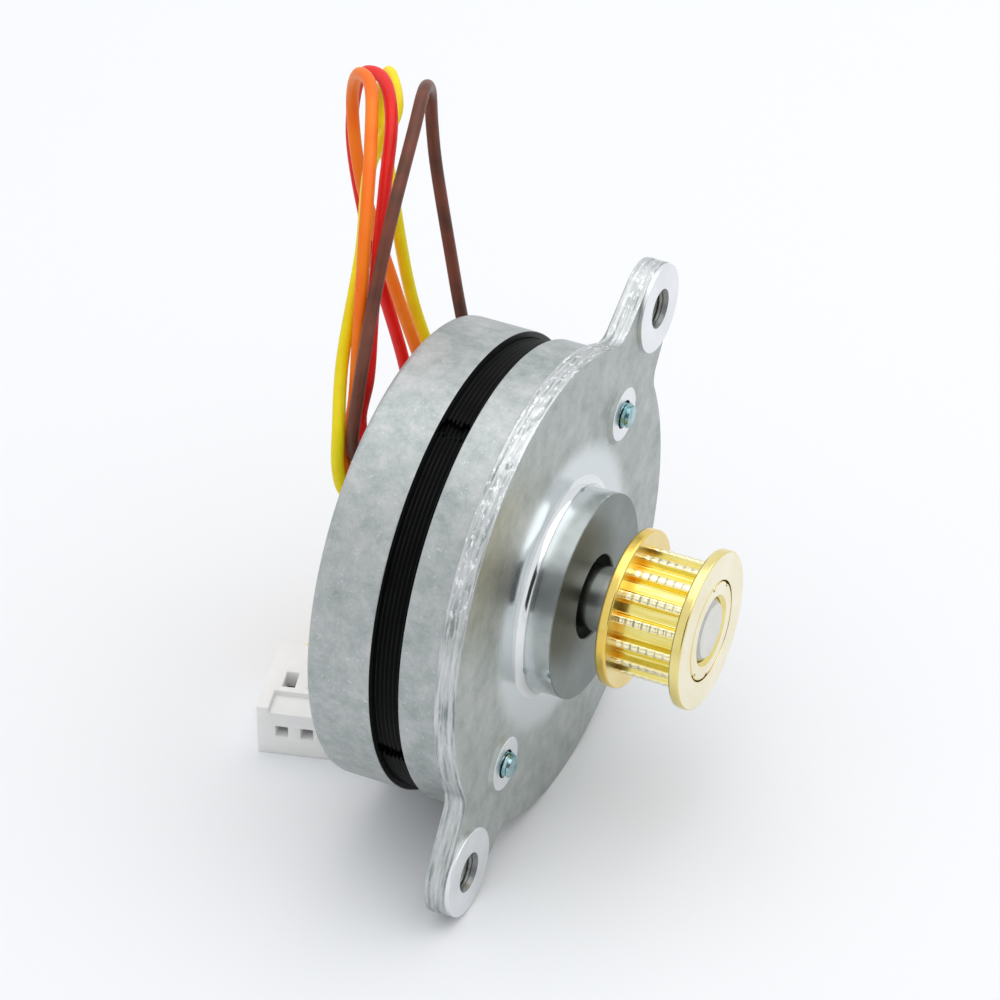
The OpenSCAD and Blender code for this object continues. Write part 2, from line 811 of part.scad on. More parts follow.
// One tooth space, drawn along +X and open past the tips
module pulley_space() {
    tip_w = pulley_space_w + 2 * (pulley_tooth_depth + overrun) * tan(pulley_space_flank);
    polygon([
        [pulley_root_r, -pulley_space_w / 2],
        [pulley_root_r, pulley_space_w / 2],
        [pulley_tip_r + overrun, tip_w / 2],
        [pulley_tip_r + overrun, -tip_w / 2],
    ]);
}

module pulley_hub() {
    bore_r = shaft_r + seat_gap;
    color(brass_color) difference() {
        union() {
            axial(teeth_rear_x) linear_extrude(belt_way_w) difference() {
                circle(pulley_tip_r);
                for (k = [0:pulley_teeth - 1])
                    facing(pulley_phase + (k + 0.5) * 360 / pulley_teeth) pulley_space();
            }
            rod(pulley_rear_x, pulley_front_x, pulley_nose_r);
        }
        turned([
            [0, pulley_rear_x - overrun],
            [bore_r + bore_chamfer + overrun, pulley_rear_x - overrun],
            [bore_r, pulley_rear_x + bore_chamfer],
            [bore_r, pulley_front_x - bore_chamfer],
            [bore_r + bore_chamfer + overrun, pulley_front_x + overrun],
            [0, pulley_front_x + overrun],
        ]);
    }
}

module pulley_flange(rear_x) {
    front_x = rear_x + flange_t;
    color(brass_color) turned([
        [pulley_nose_r + seat_gap, rear_x],
        [pulley_flange_r - flange_chamfer, rear_x],
        [pulley_flange_r, rear_x + flange_chamfer],
        [pulley_flange_r, front_x - flange_chamfer],
        [pulley_flange_r - flange_chamfer, front_x],
        [pulley_nose_r + seat_gap, front_x],
    ]);
}

module pulley_rear_flange() {
    pulley_flange(pulley_rear_x);
}

module pulley_front_flange() {
    pulley_flange(teeth_front_x);
}

// Leads and plug

// Neck of the grommet, a slot along the row of leads, grown all round by a margin
module grommet_outline(grow) {
    run = (lead_count - 1) * lead_pitch;
    facing(grommet_angle) translate([grommet_r, 0]) {
        square([grommet_neck_w + 2 * grow, run], center = true);
        for (v = [-1, 1]) translate([0, v * run / 2]) circle(grommet_neck_w / 2 + grow);
    }
}

module lead_grommet() {
    color(nylon_color) {
        axial(grommet_face_x) linear_extrude(grommet_flange_t) grommet_outline(grommet_lip);
        axial(rear_face_x) linear_extrude(rear_floor_t) grommet_outline(0);
        axial(rear_inner_x) linear_extrude(grommet_inner_t) grommet_outline(grommet_lip);
    }
}

// Start of a lead on the grommet's face, moved back along the shaft
function lead_start(k, back) =
    let (side = (k - (lead_count - 1) / 2) * lead_pitch)
    [
        grommet_face_x - back,
        grommet_r * sin(grommet_angle) + side * cos(grommet_angle),
        grommet_r * cos(grommet_angle) - side * sin(grommet_angle),
    ];

// Point on a lead's way into the plug, a distance before the housing's face
function lead_end(k, before) =
    let (side = (k - (lead_count - 1) / 2) * plug_pitch)
    [
        plug_x + side * cos(plug_turn) - before * sin(plug_turn),
        plug_y + side * sin(plug_turn) + before * cos(plug_turn),
        floor_z + plug_h / 2,
    ];

function lead_route(k, run) = concat(
    [lead_start(k, 0), lead_start(k, lead_straight_l)],
    run,
    [lead_end(k, plug_approach_l), lead_end(k, -lead_entry_l)]
);

function unit(v) = v / norm(v);

// Rings of a tube along a route, carried on without twist
function tube_points(route, r) =
    let (
        last = len(route) - 1,
        along = [
            for (i = [0:last])
                unit(route[min(i + 1, last)] - route[max(i - 1, 0)])
        ]
    )
    [
        for (i = 0, n = [0, 0, 1]; i <= last; i = i + 1, n = i <= last ? level(n, along[i]) : n)
            let (b = cross(along[i], n))
            each [
                for (s = [0:lead_sides - 1])
                    let (a = 360 * (s + 0.5) / lead_sides)
                    route[i] + r * (cos(a) * n + sin(a) * b)
            ]
    ];

function level(n, along) = unit(n - (n * along) * along);

module tube_along(route, r) {
    rings = len(route);
    sides = [
        for (i = [0:rings - 2], s = [0:lead_sides - 1])
            let (
                a = i * lead_sides + s,
                b = i * lead_sides + (s + 1) % lead_sides
            )
            each [[a, b, a + lead_sides], [b, b + lead_sides, a + lead_sides]]
    ];
    caps = [
        [for (s = [lead_sides - 1:-1:0]) s],
        [for (s = [0:lead_sides - 1]) (rings - 1) * lead_sides + s],
    ];
    polyhedron(tube_points(route, r), concat(sides, caps));
}

module lead_yellow() {
    color("#f0dc10") tube_along(lead_route(0, yellow_run), lead_r);
}

module lead_orange() {
    color("#ff7820") tube_along(lead_route(1, orange_run), lead_r);
}

module lead_brown() {
    color("#6b4038") tube_along(lead_route(2, brown_run), lead_r);
}

module lead_red() {
    color("#e02818") tube_along(lead_route(3, red_run), lead_r);
}

// Frame of the plug: its own +X runs along the row of ways, and it mates towards its own -Y
module at_plug() {
    translate([plug_x, plug_y, floor_z]) rotate([0, 0, plug_turn]) children();
}

module at_ways() {
    for (k = [0:lead_count - 1])
        translate([(k - (lead_count - 1) / 2) * plug_pitch, 0, plug_h / 2]) children();
}

module plug_housing() {
    plug_w = (lead_count - 1) * plug_pitch + 2 * plug_cheek_w;
    color("#f2f2ee") at_plug() difference() {
        union() {
            translate([-plug_w / 2, -plug_l, 0]) cube([plug_w, plug_l, plug_h - plug_step_h]);
            translate([-plug_w / 2, plug_step_l - plug_l, 0])
                cube([plug_w, plug_l - plug_step_l, plug_h]);
            for (side = [-1, 1])
                translate([side * (plug_w - plug_rib_w) / 2 - plug_rib_w / 2, -plug_l, 0])
                    cube([plug_rib_w, plug_l, plug_h]);
        }
        at_ways() {
            translate([-plug_way_w / 2, -plug_way_l, -plug_way_w / 2])
                cube([plug_way_w, plug_way_l + overrun, plug_way_w]);
            translate([-plug_pin_w / 2, -plug_l - overrun, -plug_pin_w / 2])
                cube([plug_pin_w, plug_l, plug_pin_w]);
            translate([-plug_window_w / 2, -plug_window_setback - plug_window_l, 0])
                cube([plug_window_w, plug_window_l, plug_h]);
        }
    }
}

module plug_terminals() {
    color(machined_color) at_plug() at_ways() difference() {
        translate([-terminal_w / 2, -lead_entry_l - terminal_l, -terminal_w / 2])
            cube([terminal_w, terminal_l, terminal_w]);
        translate([-terminal_bore_w / 2, -lead_entry_l - terminal_l - overrun, -terminal_bore_w / 2])
            cube([terminal_bore_w, terminal_l, terminal_bore_w]);
    }
}

front_cover();
rear_cover();
stator_stack();
case_screws();
shaft();
rotor_cup_front();
rotor_magnet();
rotor_cup_rear();
pulley_hub();
pulley_rear_flange();
pulley_front_flange();
front_bearing_outer_ring();
front_bearing_inner_ring();
front_bearing_balls();
front_bearing_cage();
front_bearing_shields();
rear_bearing_outer_ring();
rear_bearing_inner_ring();
rear_bearing_balls();
rear_bearing_cage();
rear_bearing_shields();
wave_washer();
front_insulator();
rear_insulator();
coils();
lead_grommet();
lead_yellow();
lead_orange();
lead_brown();
lead_red();
plug_housing();
plug_terminals();
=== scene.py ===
import math
from functools import partial

import bmesh
import bpy
import numpy as np
from mathutils import Matrix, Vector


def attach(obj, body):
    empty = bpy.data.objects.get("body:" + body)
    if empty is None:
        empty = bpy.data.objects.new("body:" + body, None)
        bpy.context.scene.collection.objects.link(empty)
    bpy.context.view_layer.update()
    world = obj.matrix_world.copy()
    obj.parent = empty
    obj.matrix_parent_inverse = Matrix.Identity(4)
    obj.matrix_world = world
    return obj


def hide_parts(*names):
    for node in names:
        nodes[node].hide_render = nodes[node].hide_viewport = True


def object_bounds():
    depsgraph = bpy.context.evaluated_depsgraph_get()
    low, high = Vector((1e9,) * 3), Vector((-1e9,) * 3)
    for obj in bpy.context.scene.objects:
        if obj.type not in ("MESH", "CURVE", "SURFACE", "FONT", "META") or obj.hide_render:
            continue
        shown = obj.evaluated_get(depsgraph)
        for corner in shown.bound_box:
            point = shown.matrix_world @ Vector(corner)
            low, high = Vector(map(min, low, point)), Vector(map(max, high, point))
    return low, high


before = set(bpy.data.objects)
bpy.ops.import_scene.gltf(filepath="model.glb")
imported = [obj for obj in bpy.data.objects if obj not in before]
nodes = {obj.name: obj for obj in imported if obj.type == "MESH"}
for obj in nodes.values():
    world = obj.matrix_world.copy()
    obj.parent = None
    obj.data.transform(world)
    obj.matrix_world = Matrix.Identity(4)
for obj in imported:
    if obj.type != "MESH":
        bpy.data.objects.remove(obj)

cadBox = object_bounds()
scene = bpy.context.scene

# Small round stepper motor with a belt pulley. X is the shaft axis, Z points up.
# Sizes in the dictionaries are millimetres; meshes are written in metres.
# Angles go round the shaft from +Z towards +Y, in degrees.
mm = 0.001
earLine = 48.87          # angle of the upper ear
sheetPitch = 0.35        # thickness of one lamination


# Puts new data into the scene as an object
def newObject(name, data):
    made = bpy.data.objects.new(name, data)
    scene.collection.objects.link(made)
    return made


# Camera at the photograph's viewing angle
cameraLook = {
    "place": (0.10707, -0.23569, 0.20907),
    "right": (0.9034, 0.4288, -0.0028),
    "up": (-0.2608, 0.5545, 0.7903),
    "back": (0.3404, -0.7132, 0.6128),
    "lens": 159.54,
    "sensor": 36,
    "clip": (0.01, 20),
}

camera = newObject("camera", bpy.data.cameras.new("camera"))
camera.data.lens = cameraLook["lens"]
camera.data.sensor_width = cameraLook["sensor"]
camera.data.clip_start, camera.data.clip_end = cameraLook["clip"]
cameraAxes = np.array([cameraLook["right"], cameraLook["up"], cameraLook["back"]]).T
cameraMatrix = np.eye(4)
turned, scaled = np.linalg.qr(cameraAxes)
cameraMatrix[:3, :3] = turned * np.sign(np.diag(scaled))
cameraMatrix[:3, 3] = cameraLook["place"]
camera.matrix_world = Matrix(cameraMatrix.tolist())
scene.camera = camera
print("camera set")


# Puts a grid of points into a mesh. The grid's rows run along the shape, its columns round it.
# Rows that shrink to one point are merged, so poles close, and the faces are turned outwards.
def gridPiece(name, grid, materials, rowZones=None, closedRows=True, capEnds=False,
              smoothAngle=40, lathe=None):
    rows, columns = grid.shape[:2]
    r = np.arange(rows if closedRows else rows - 1)[:, None]
    c = np.arange(columns)[None, :]
    nextRow, nextColumn = (r + 1) % rows, (c + 1) % columns
    quads = np.stack([
        r * columns + c, r * columns + nextColumn,
        nextRow * columns + nextColumn, nextRow * columns + c,
    ], axis=-1).reshape(-1, 4)
    mesh = bpy.data.meshes.new(name)
    mesh.from_pydata((grid.reshape(-1, 3) * mm).tolist(), [], quads.tolist())
    if rowZones is not None:
        zones = np.repeat(np.asarray(rowZones, dtype=np.int32)[:len(r)], columns)
        mesh.polygons.foreach_set("material_index", zones)
    if lathe is not None:
        marks = mesh.attributes.new("lathe", "FLOAT_VECTOR", "POINT")
        marks.data.foreach_set("vector", (lathe.reshape(-1, 3) * mm).ravel())
    work = bmesh.new()
    work.from_mesh(mesh)
    if capEnds:
        work.verts.ensure_lookup_table()
        work.faces.new([work.verts[i] for i in range(columns)])
        last = (rows - 1) * columns
        work.faces.new([work.verts[last + i] for i in range(columns)][::-1])
    bmesh.ops.remove_doubles(work, verts=work.verts, dist=0.0002 * mm)
    bmesh.ops.recalc_face_normals(work, faces=work.faces)
    work.to_mesh(mesh)
    work.free()
    for material in materials:
        mesh.materials.append(material)
    smoothShade(mesh, smoothAngle)
    return newObject(name, mesh)


def smoothShade(mesh, angle):
    mesh.polygons.foreach_set("use_smooth", np.ones(len(mesh.polygons), dtype=bool))
    mesh.set_sharp_from_angle(angle=math.radians(angle))
    mesh.update()


# Rounds the corners of a flat outline, or of a profile. A corner is its two coordinates, in a profile
# the place along the shaft and the radius, and a length: it is cut back by this on both sides and
# bridged by the parabola that has the corner as its control point. A guard point stands close behind
# each end of the curve, so that the flats beside it shade flat.
def softCorners(corners, closed=True, steps=4, guard=0.3):
    corners = np.asarray(corners, dtype=float)
    points, cut = corners[:, :2], corners[:, 2:3]
    before, after = np.roll(points, 1, axis=0) - points, np.roll(points, -1, axis=0) - points
    if not closed:
        before[0], after[-1] = after[0], before[-1]
        cut = cut.copy()
        cut[0] = cut[-1] = 0
    before = before / np.linalg.norm(before, axis=1, keepdims=True)
    after = after / np.linalg.norm(after, axis=1, keepdims=True)
    s = np.linspace(0, 1, steps + 1)[None, :, None]
    start, end = points + before * cut, points + after * cut
    curve = (1 - s) ** 2 * start[:, None] + 2 * s * (1 - s) * points[:, None] + s ** 2 * end[:, None]
    guardStart, guardEnd = start + before * cut * guard, end + after * cut * guard
    rounded = np.concatenate([guardStart[:, None], curve, guardEnd[:, None]], axis=1)
    return rounded.reshape(-1, 2)


# Turned surface: every point of the profile goes round an axis that is parallel to the shaft. A wave
# adds to the radius as a function of place, radius and angle.
def turnedPiece(name, profile, materials, axis=(0, 0), columns=160, closed=True, zones=None,
                wave=None, smoothAngle=40):
    turn = np.radians(np.linspace(0, 360, columns, endpoint=False))
    x, radius = profile[:, 0:1] + 0 * turn, profile[:, 1:2] + 0 * turn
    if wave is not None:
        radius = radius + wave(x, radius, turn[None, :] + 0 * x)
    grid = np.stack([x, axis[0] + radius * np.sin(turn), axis[1] + radius * np.cos(turn)], axis=-1)
    lathe = np.stack([x, radius, 0 * x], axis=-1)
    rowZones = None
    if zones is not None:
        middle = (profile + np.roll(profile, -1, axis=0)) / 2
        rowZones = zones(middle[:, 0], middle[:, 1])
    return gridPiece(name, grid, materials, rowZones, closedRows=closed,
                     smoothAngle=smoothAngle, lathe=lathe)


# Smooth path through points: cubics between neighbours, with knots at the square roots
# of their distances, so that close points make no loops.
def smoothPath(points, perSpan=10):
    points = np.asarray(points, dtype=float)
    points = np.vstack([2 * points[0] - points[1], points, 2 * points[-1] - points[-2]])
    gaps = np.sqrt(np.linalg.norm(np.diff(points, axis=0), axis=1))
    knots = np.concatenate([[0], np.cumsum(gaps)])
    spans = len(points) - 3
    p = [points[i:spans + i, None] for i in range(4)]
    k = [knots[i:spans + i, None, None] for i in range(4)]
    t = k[1] + (k[2] - k[1]) * np.linspace(0, 1, perSpan, endpoint=False)[None, :, None]

    def between(a, b, ka, kb):
        return ((kb - t) * a + (t - ka) * b) / (kb - ka)

    first = [between(p[i], p[i + 1], k[i], k[i + 1]) for i in range(3)]
    second = [between(first[i], first[i + 1], k[i], k[i + 2]) for i in range(2)]
    path = between(second[0], second[1], k[1], k[2]).reshape(-1, 3)
    return np.vstack([path, points[-2]])


# Tube along a path: a ring stands square to the path at each point, carried on without twist.
def tubePiece(name, path, radius, materials, sides=16):
    along = np.gradient(path, axis=0)
    along = along / np.linalg.norm(along, axis=1, keepdims=True)
    normals = np.zeros_like(path)
    normal = np.array([0.0, 0.0, 1.0])
    for i, direction in enumerate(along):
        normal = normal - normal.dot(direction) * direction
        normal = normal / np.linalg.norm(normal)
        normals[i] = normal
    binormals = np.cross(along, normals)
    turn = np.radians(np.linspace(0, 360, sides, endpoint=False))[None, :, None]
    grid = path[:, None] + radius * (
        np.cos(turn) * normals[:, None] + np.sin(turn) * binormals[:, None])
    return gridPiece(name, grid, materials, closedRows=False, capEnds=True, smoothAngle=60)


# Bakes a piece's modifiers into its mesh
def applyModifiers(piece, smoothAngle=40):
    graph = bpy.context.evaluated_depsgraph_get()
    mesh = bpy.data.meshes.new_from_object(piece.evaluated_get(graph))
    piece.modifiers.clear()
    piece.data = mesh
    smoothShade(mesh, smoothAngle)


# Takes the cutters' shapes out of a piece and deletes the cutters
def carve(piece, cutters, smoothAngle=40):
    for cutter in cutters:
        cut = piece.modifiers.new("cut", "BOOLEAN")
        cut.operation = "DIFFERENCE"
        cut.solver = "EXACT"
        cut.object = cutter
    applyModifiers(piece, smoothAngle)
    for cutter in cutters:
        bpy.data.objects.remove(cutter, do_unlink=True)


# Rounds a piece's sharp edges
def breakEdges(piece, width, segments=2, sharpAngle=35):
    bevel = piece.modifiers.new("edges", "BEVEL")
    bevel.width = width * mm
    bevel.segments = segments
    bevel.limit_method = "ANGLE"
    bevel.angle_limit = math.radians(sharpAngle)
    applyModifiers(piece)


# Hangs a piece on the body that it rides on and, if any, hides the solid it replaces
def declare(piece, body, node=None):
    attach(piece, body)
    if node is not None:
        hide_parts(node)


# Moulded piece: a copy of a solid's mesh, merged, with its flat faces made whole again and its
# edges broken
def mouldedPiece(name, node, material, edge, flatAngle=0.5, smoothAngle=35):
    mesh = nodes[node].data.copy()
    mesh.name = name
    work = bmesh.new()
    work.from_mesh(mesh)
    bmesh.ops.remove_doubles(work, verts=work.verts, dist=0.001 * mm)
    bmesh.ops.dissolve_limit(work, angle_limit=math.radians(flatAngle), verts=work.verts,
                             edges=work.edges)
    work.to_mesh(mesh)
    work.free()
    mesh.materials.clear()
    mesh.materials.append(material)
    smoothShade(mesh, smoothAngle)
    piece = newObject(name, mesh)
    breakEdges(piece, edge)
    declare(piece, "stator", node)
    return piece


# Place at a radius and angle round the shaft
def around(radius, angle):
    return radius * math.sin(math.radians(angle)), radius * math.cos(math.radians(angle))


# Zones that give a turned piece its second finish in front of a place along the shaft
def inFrontOf(place):
    return lambda x, radius: (x > place) * 1


# Colour written as on screen, turned into the renderer's linear values
def linear(hexCode):
    levels = [int(hexCode[i:i + 2], 16) / 255 for i in (0, 2, 4)]
    return [v / 12.92 if v <= 0.04045 else ((v + 0.055) / 1.055) ** 2.4 for v in levels] + [1.0]


# Adds a node. Settings in small letters are the node's own, the others are its sockets' values.
# Links give, for a socket, the earlier node, or this node and its output where that isn't the first.
# A Mix node has its share at socket 0, its colours at 6 and 7, and the mixed colour at output 2.
def addNode(tree, kind, settings=None, links=None):
    node = tree.nodes.new("ShaderNode" + kind)
    for key, value in (settings or {}).items():
        if key == "stops":
            ramp = node.color_ramp
            while len(ramp.elements) < len(value):
                ramp.elements.new(0.5)
            for element, (position, hexCode) in zip(ramp.elements, value):
                element.position = position
                element.color = linear(hexCode)
        elif isinstance(key, int) or key[0].isupper():
            node.inputs[key].default_value = value
        else:
            setattr(node, key, value)
    for key, link in (links or {}).items():
        source, output = link if isinstance(link, tuple) else (link, 0)
        tree.links.new(source.outputs[output], node.inputs[key])
    return node


# Gives an empty material, and the function that adds nodes to it
def newMaterial(name):
    material = bpy.data.materials.new(name)
    material.use_nodes = True
    material.node_tree.nodes.clear()
    return material, partial(addNode, material.node_tree)


# Scale of a noise whose grains or marks are so many mm across
def scaleFor(size):
    return 1 / (size * mm)


# Adds a material's last nodes: a bump from a relief, with its depth in mm, the shader and the output
def shade(material, settings, links, relief, strength, depth):
    add = partial(addNode, material.node_tree)
    bump = add("Bump", {"Strength": strength, "Distance": depth * mm}, {"Height": relief})
    shader = add("BsdfPrincipled", settings, {**links, "Normal": bump})
    add("OutputMaterial", None, {"Surface": shader})
    return material


# Moulded nylon and extruded PVC: an even colour that drifts over 2 to 3 mm, a soft sheen and a fine
# orange peel of 0.3 to 0.4 mm; it also paints black shade on the rear cover. Light goes 0.4 mm deep
# into white nylon.
def evenPolymer(name, darkCode, lightCode, roughness, ior=1.53, driftSize=2.857, peelSize=0.3125,
                peelDepth=0.02, paleFrom=0.7, subsurface=0.0):
    material, add = newMaterial(name)
    where = add("TexCoord")
    cloud = add("TexNoise", {"Scale": scaleFor(driftSize), "Detail": 3}, {"Vector": (where, "Object")})
    peel = add("TexNoise", {"Scale": scaleFor(peelSize), "Detail": 2}, {"Vector": (where, "Object")})
    tone = add("ValToRGB", {"stops": [(0.3, darkCode), (paleFrom, lightCode)]}, {"Fac": cloud})
    return shade(material, {"Roughness": roughness, "IOR": ior, "Subsurface Weight": subsurface,
                            "Subsurface Radius": [0.4 * mm] * 3, "Subsurface Scale": 1.0},
                 {"Base Color": tone}, peel, strength=0.12, depth=peelDepth)


# Die-cast aluminium, as cast and tumbled: a matt grey with cloudy patches of 2 mm, the dark ones
# cool and the pale ones warm, that break up into a fine mottle, and pale flecks and dark pits of
# 0.2 mm. A face that is turned near the shaft gets smoother and brighter from one radius down to
# another.
def dieCastAluminium(name, tones, roughness, flecks, grain, turnedFrom=None, turnedTo=None,
                     turnedRoughness=None):
    material, add = newMaterial(name)
    where = add("TexCoord")
    mottle = add("TexNoise", {"Scale": scaleFor(2.38), "Detail": 9, "Roughness": 0.78},
                 {"Vector": (where, "Object")})
    speckle = add("TexNoise", {"Scale": scaleFor(0.238), "Detail": 3, "Roughness": 0.6},
                  {"Vector": (where, "Object")})
    tone = add("ValToRGB", {"stops": list(zip((0.34, 0.5, 0.66), tones))}, {"Fac": mottle})
    fleck = add("MapRange", {"From Min": 0.62, "From Max": 0.74, "To Max": flecks}, {"Value": speckle})
    flecked = add("Mix", {"data_type": "RGBA", 7: linear("F0F1F1")}, {0: fleck, 6: tone})
    pit = add("MapRange", {"From Min": 0.32, "From Max": 0.22, "To Max": flecks}, {"Value": speckle})
    colour = add("Mix", {"data_type": "RGBA", 7: linear("5C615F")}, {0: pit, 6: (flecked, 2)})
    gloss = add("MapRange", {"To Min": roughness - 0.06, "To Max": roughness + 0.06}, {"Value": mottle})
    if turnedTo is not None:
        across = add("Mapping", {"Scale": (0, 1, 1)}, {"Vector": (where, "Object")})
        radius = add("VectorMath", {"operation": "LENGTH"}, {0: across})
        turned = {"interpolation_type": "SMOOTHSTEP", "From Min": turnedFrom * mm,
                  "From Max": turnedTo * mm}
        gloss = add("MapRange", {**turned, "To Min": turnedRoughness},
                    {"Value": (radius, "Value"), "To Max": gloss})
        asCast = add("MapRange", turned, {"Value": (radius, "Value")})
        colour = add("Mix", {"data_type": "RGBA", 6: linear("D2D8D9")}, {0: asCast, 7: (colour, 2)})
    return shade(material, {"Metallic": 0.9}, {"Base Color": (colour, 2), "Roughness": gloss},
                 speckle, strength=grain, depth=0.03)


# Trimmed edge of the casting: streaks of 0.3 mm that run along the edge, with bright flecks where
# the trimming tool tore it. The torn side is the one that lies far out in one direction.
def trimmedCasting(tornAngle, tornFrom, tornTo):
    material, add = newMaterial("trimmed casting edge")
    where = add("TexCoord")
    tornPlace = (0, math.sin(math.radians(tornAngle)), math.cos(math.radians(tornAngle)))
    height = add("VectorMath", {"operation": "DOT_PRODUCT", 1: tornPlace}, {0: (where, "Object")})
    flecks = add("MapRange", {"From Min": tornFrom * mm, "From Max": tornTo * mm, "To Min": 0.15,
                              "To Max": 0.9}, {"Value": (height, "Value")})
    marks = add("Attribute", {"attribute_name": "lathe"})
    drawn = add("Mapping", {"Scale": (1, 0, 0.08)}, {"Vector": (marks, "Vector")})
    torn = add("Mapping", {"Scale": (1, 0, 0.45)}, {"Vector": (marks, "Vector")})
    streaks = add("TexNoise", {"Scale": scaleFor(0.294), "Detail": 4, "Roughness": 0.6},
                  {"Vector": drawn})
    tears = add("TexNoise", {"Scale": scaleFor(0.3333), "Detail": 4, "Roughness": 0.65},
                {"Vector": torn})
    tone = add("ValToRGB", {"stops": [(0.34, "848D8B"), (0.46, "B8BCBB"), (0.66, "D4D5D7")]},
               {"Fac": streaks})
    fleck = add("MapRange", {"From Min": 0.54, "From Max": 0.64}, {"Value": tears, "To Max": flecks})
    colour = add("Mix", {"data_type": "RGBA", 7: linear("FBFCFC")}, {0: fleck, 6: tone})
    relief = add("Math", {"operation": "ADD"}, {0: streaks, 1: tears})
    return shade(material, {"Metallic": 0.9, "Roughness": 0.4}, {"Base Color": (colour, 2)},
                 relief, strength=0.45, depth=0.06)


# Turned metal: fine rings left by the tool, drawn 0.12 mm apart, coarser than real so they show
def turnedMetal(name, hexCode, paleCode, roughness, strength=0.2):
    material, add = newMaterial(name)
    marks = add("Attribute", {"attribute_name": "lathe"})
    where = add("TexCoord")
    squash = add("Mapping", {"Scale": (1, 1, 0)}, {"Vector": (marks, "Vector")})
    rings = add("TexNoise", {"Scale": scaleFor(0.12), "Detail": 2}, {"Vector": squash})
    cloud = add("TexNoise", {"Scale": scaleFor(3.333), "Detail": 3}, {"Vector": (where, "Object")})
    tone = add("ValToRGB", {"stops": [(0.3, hexCode), (0.7, paleCode)]}, {"Fac": cloud})
    gloss = add("MapRange", {"To Min": roughness - 0.06, "To Max": roughness + 0.06}, {"Value": rings})
    return shade(material, {"Metallic": 1.0}, {"Base Color": tone, "Roughness": gloss},
                 rings, strength, depth=0.02)


# Milled brass teeth: gold in the spaces, darker towards their rear end as painted shade beside the
# rear flange, and pale on the tips as a painted highlight. The cutter's strokes run along the shaft,
# 0.25 mm apart.
def milledBrass(rootRadius, tipRadius, rear, shadeLength):
    material, add = newMaterial("milled brass teeth")
    marks = add("Attribute", {"attribute_name": "lathe"})
    axes = add("SeparateXYZ", None, {"Vector": (marks, "Vector")})
    where = add("TexCoord")
    strokes = add("Mapping", {"Scale": (0.1, 1, 1)}, {"Vector": (where, "Object")})
    grain = add("TexNoise", {"Scale": scaleFor(0.25), "Detail": 2}, {"Vector": strokes})
    tone = add("ValToRGB", {"stops": [(0.3, "EAD66C"), (0.7, "F5E898")]}, {"Fac": grain})
    # painted shade: the spaces darken towards the rear flange
    deep = add("MapRange", {"From Min": (rear + shadeLength) * mm, "From Max": rear * mm},
               {"Value": (axes, "X")})
    space = add("Mix", {"data_type": "RGBA", 7: linear("EABD58")}, {0: deep, 6: tone})
    # painted highlight: the tips turn pale
    tipHighlight = add("MapRange", {"From Min": (rootRadius + 0.5) * mm,
                              "From Max": (tipRadius - 0.04) * mm, "To Max": 0.85},
                 {"Value": (axes, "Y")})
    colour = add("Mix", {"data_type": "RGBA", 7: linear("FFF6D0")}, {0: tipHighlight, 6: (space, 2)})
    return shade(material, {"Metallic": 1.0, "Roughness": 0.2}, {"Base Color": (colour, 2)},
                 grain, strength=0.12, depth=0.02)


# Metal with an even grain of 1 mm, for the screws and the plain inner pieces
def plainMetal(name, darkCode, lightCode, roughness):
    material, add = newMaterial(name)
    where = add("TexCoord")
    grain = add("TexNoise", {"Scale": scaleFor(1.111), "Detail": 4}, {"Vector": (where, "Object")})
    tone = add("ValToRGB", {"stops": [(0.35, darkCode), (0.65, lightCode)]}, {"Fac": grain})
    return shade(material, {"Metallic": 1.0, "Roughness": roughness}, {"Base Color": tone},
                 grain, strength=0.15, depth=0.02)


# Silicon steel laminations under black oxide: thin paler edges, worn in patches, one a sheet
def laminationSteel():
    material, add = newMaterial("oxidised lamination steel")
    where = add("TexCoord")
    axes = add("SeparateXYZ", None, {"Vector": (where, "Object")})
    sheets = add("Math", {"operation": "MULTIPLY", 1: scaleFor(sheetPitch)}, {0: (axes, "X")})
    inSheet = add("Math", {"operation": "FRACT"}, {0: sheets})
    edge = add("Math", {"operation": "PINGPONG", 1: 0.5}, {0: inSheet})
    line = add("MapRange", {"From Min": 0.28, "From Max": 0.5}, {"Value": edge})
    wear = add("TexNoise", {"Scale": scaleFor(2), "Detail": 4}, {"Vector": (where, "Object")})
    shown = add("Math", {"operation": "MULTIPLY"}, {0: line, 1: wear})
    tone = add("ValToRGB", {"stops": [(0.1, "020202"), (0.6, "242726")]}, {"Fac": shown})
    return shade(material, {"Metallic": 0.1, "Roughness": 0.6, "IOR": 1.16},
                 {"Base Color": tone}, line, strength=0.5, depth=0.04)


# Enamelled copper winding: wires side by side, drawn 0.32 mm thick, coarser than real. The wave
# repeats 20 / 2 pi times in one unit.
def windingCopper():
    material, add = newMaterial("enamelled copper wire")
    where = add("TexCoord")
    waves = {"Scale": scaleFor(0.316) * 2 * math.pi / 20, "Distortion": 1.5, "Detail": 1}
    wires = add("TexWave", waves, {"Vector": (where, "Object")})
    tone = add("ValToRGB", {"stops": [(0.1, "6E2C10"), (0.8, "C4703A")]}, {"Fac": (wires, "Fac")})
    return shade(material, {"Metallic": 0.8, "Roughness": 0.3, "Coat Weight": 0.5},
                 {"Base Color": tone}, (wires, "Fac"), strength=0.6, depth=0.05)


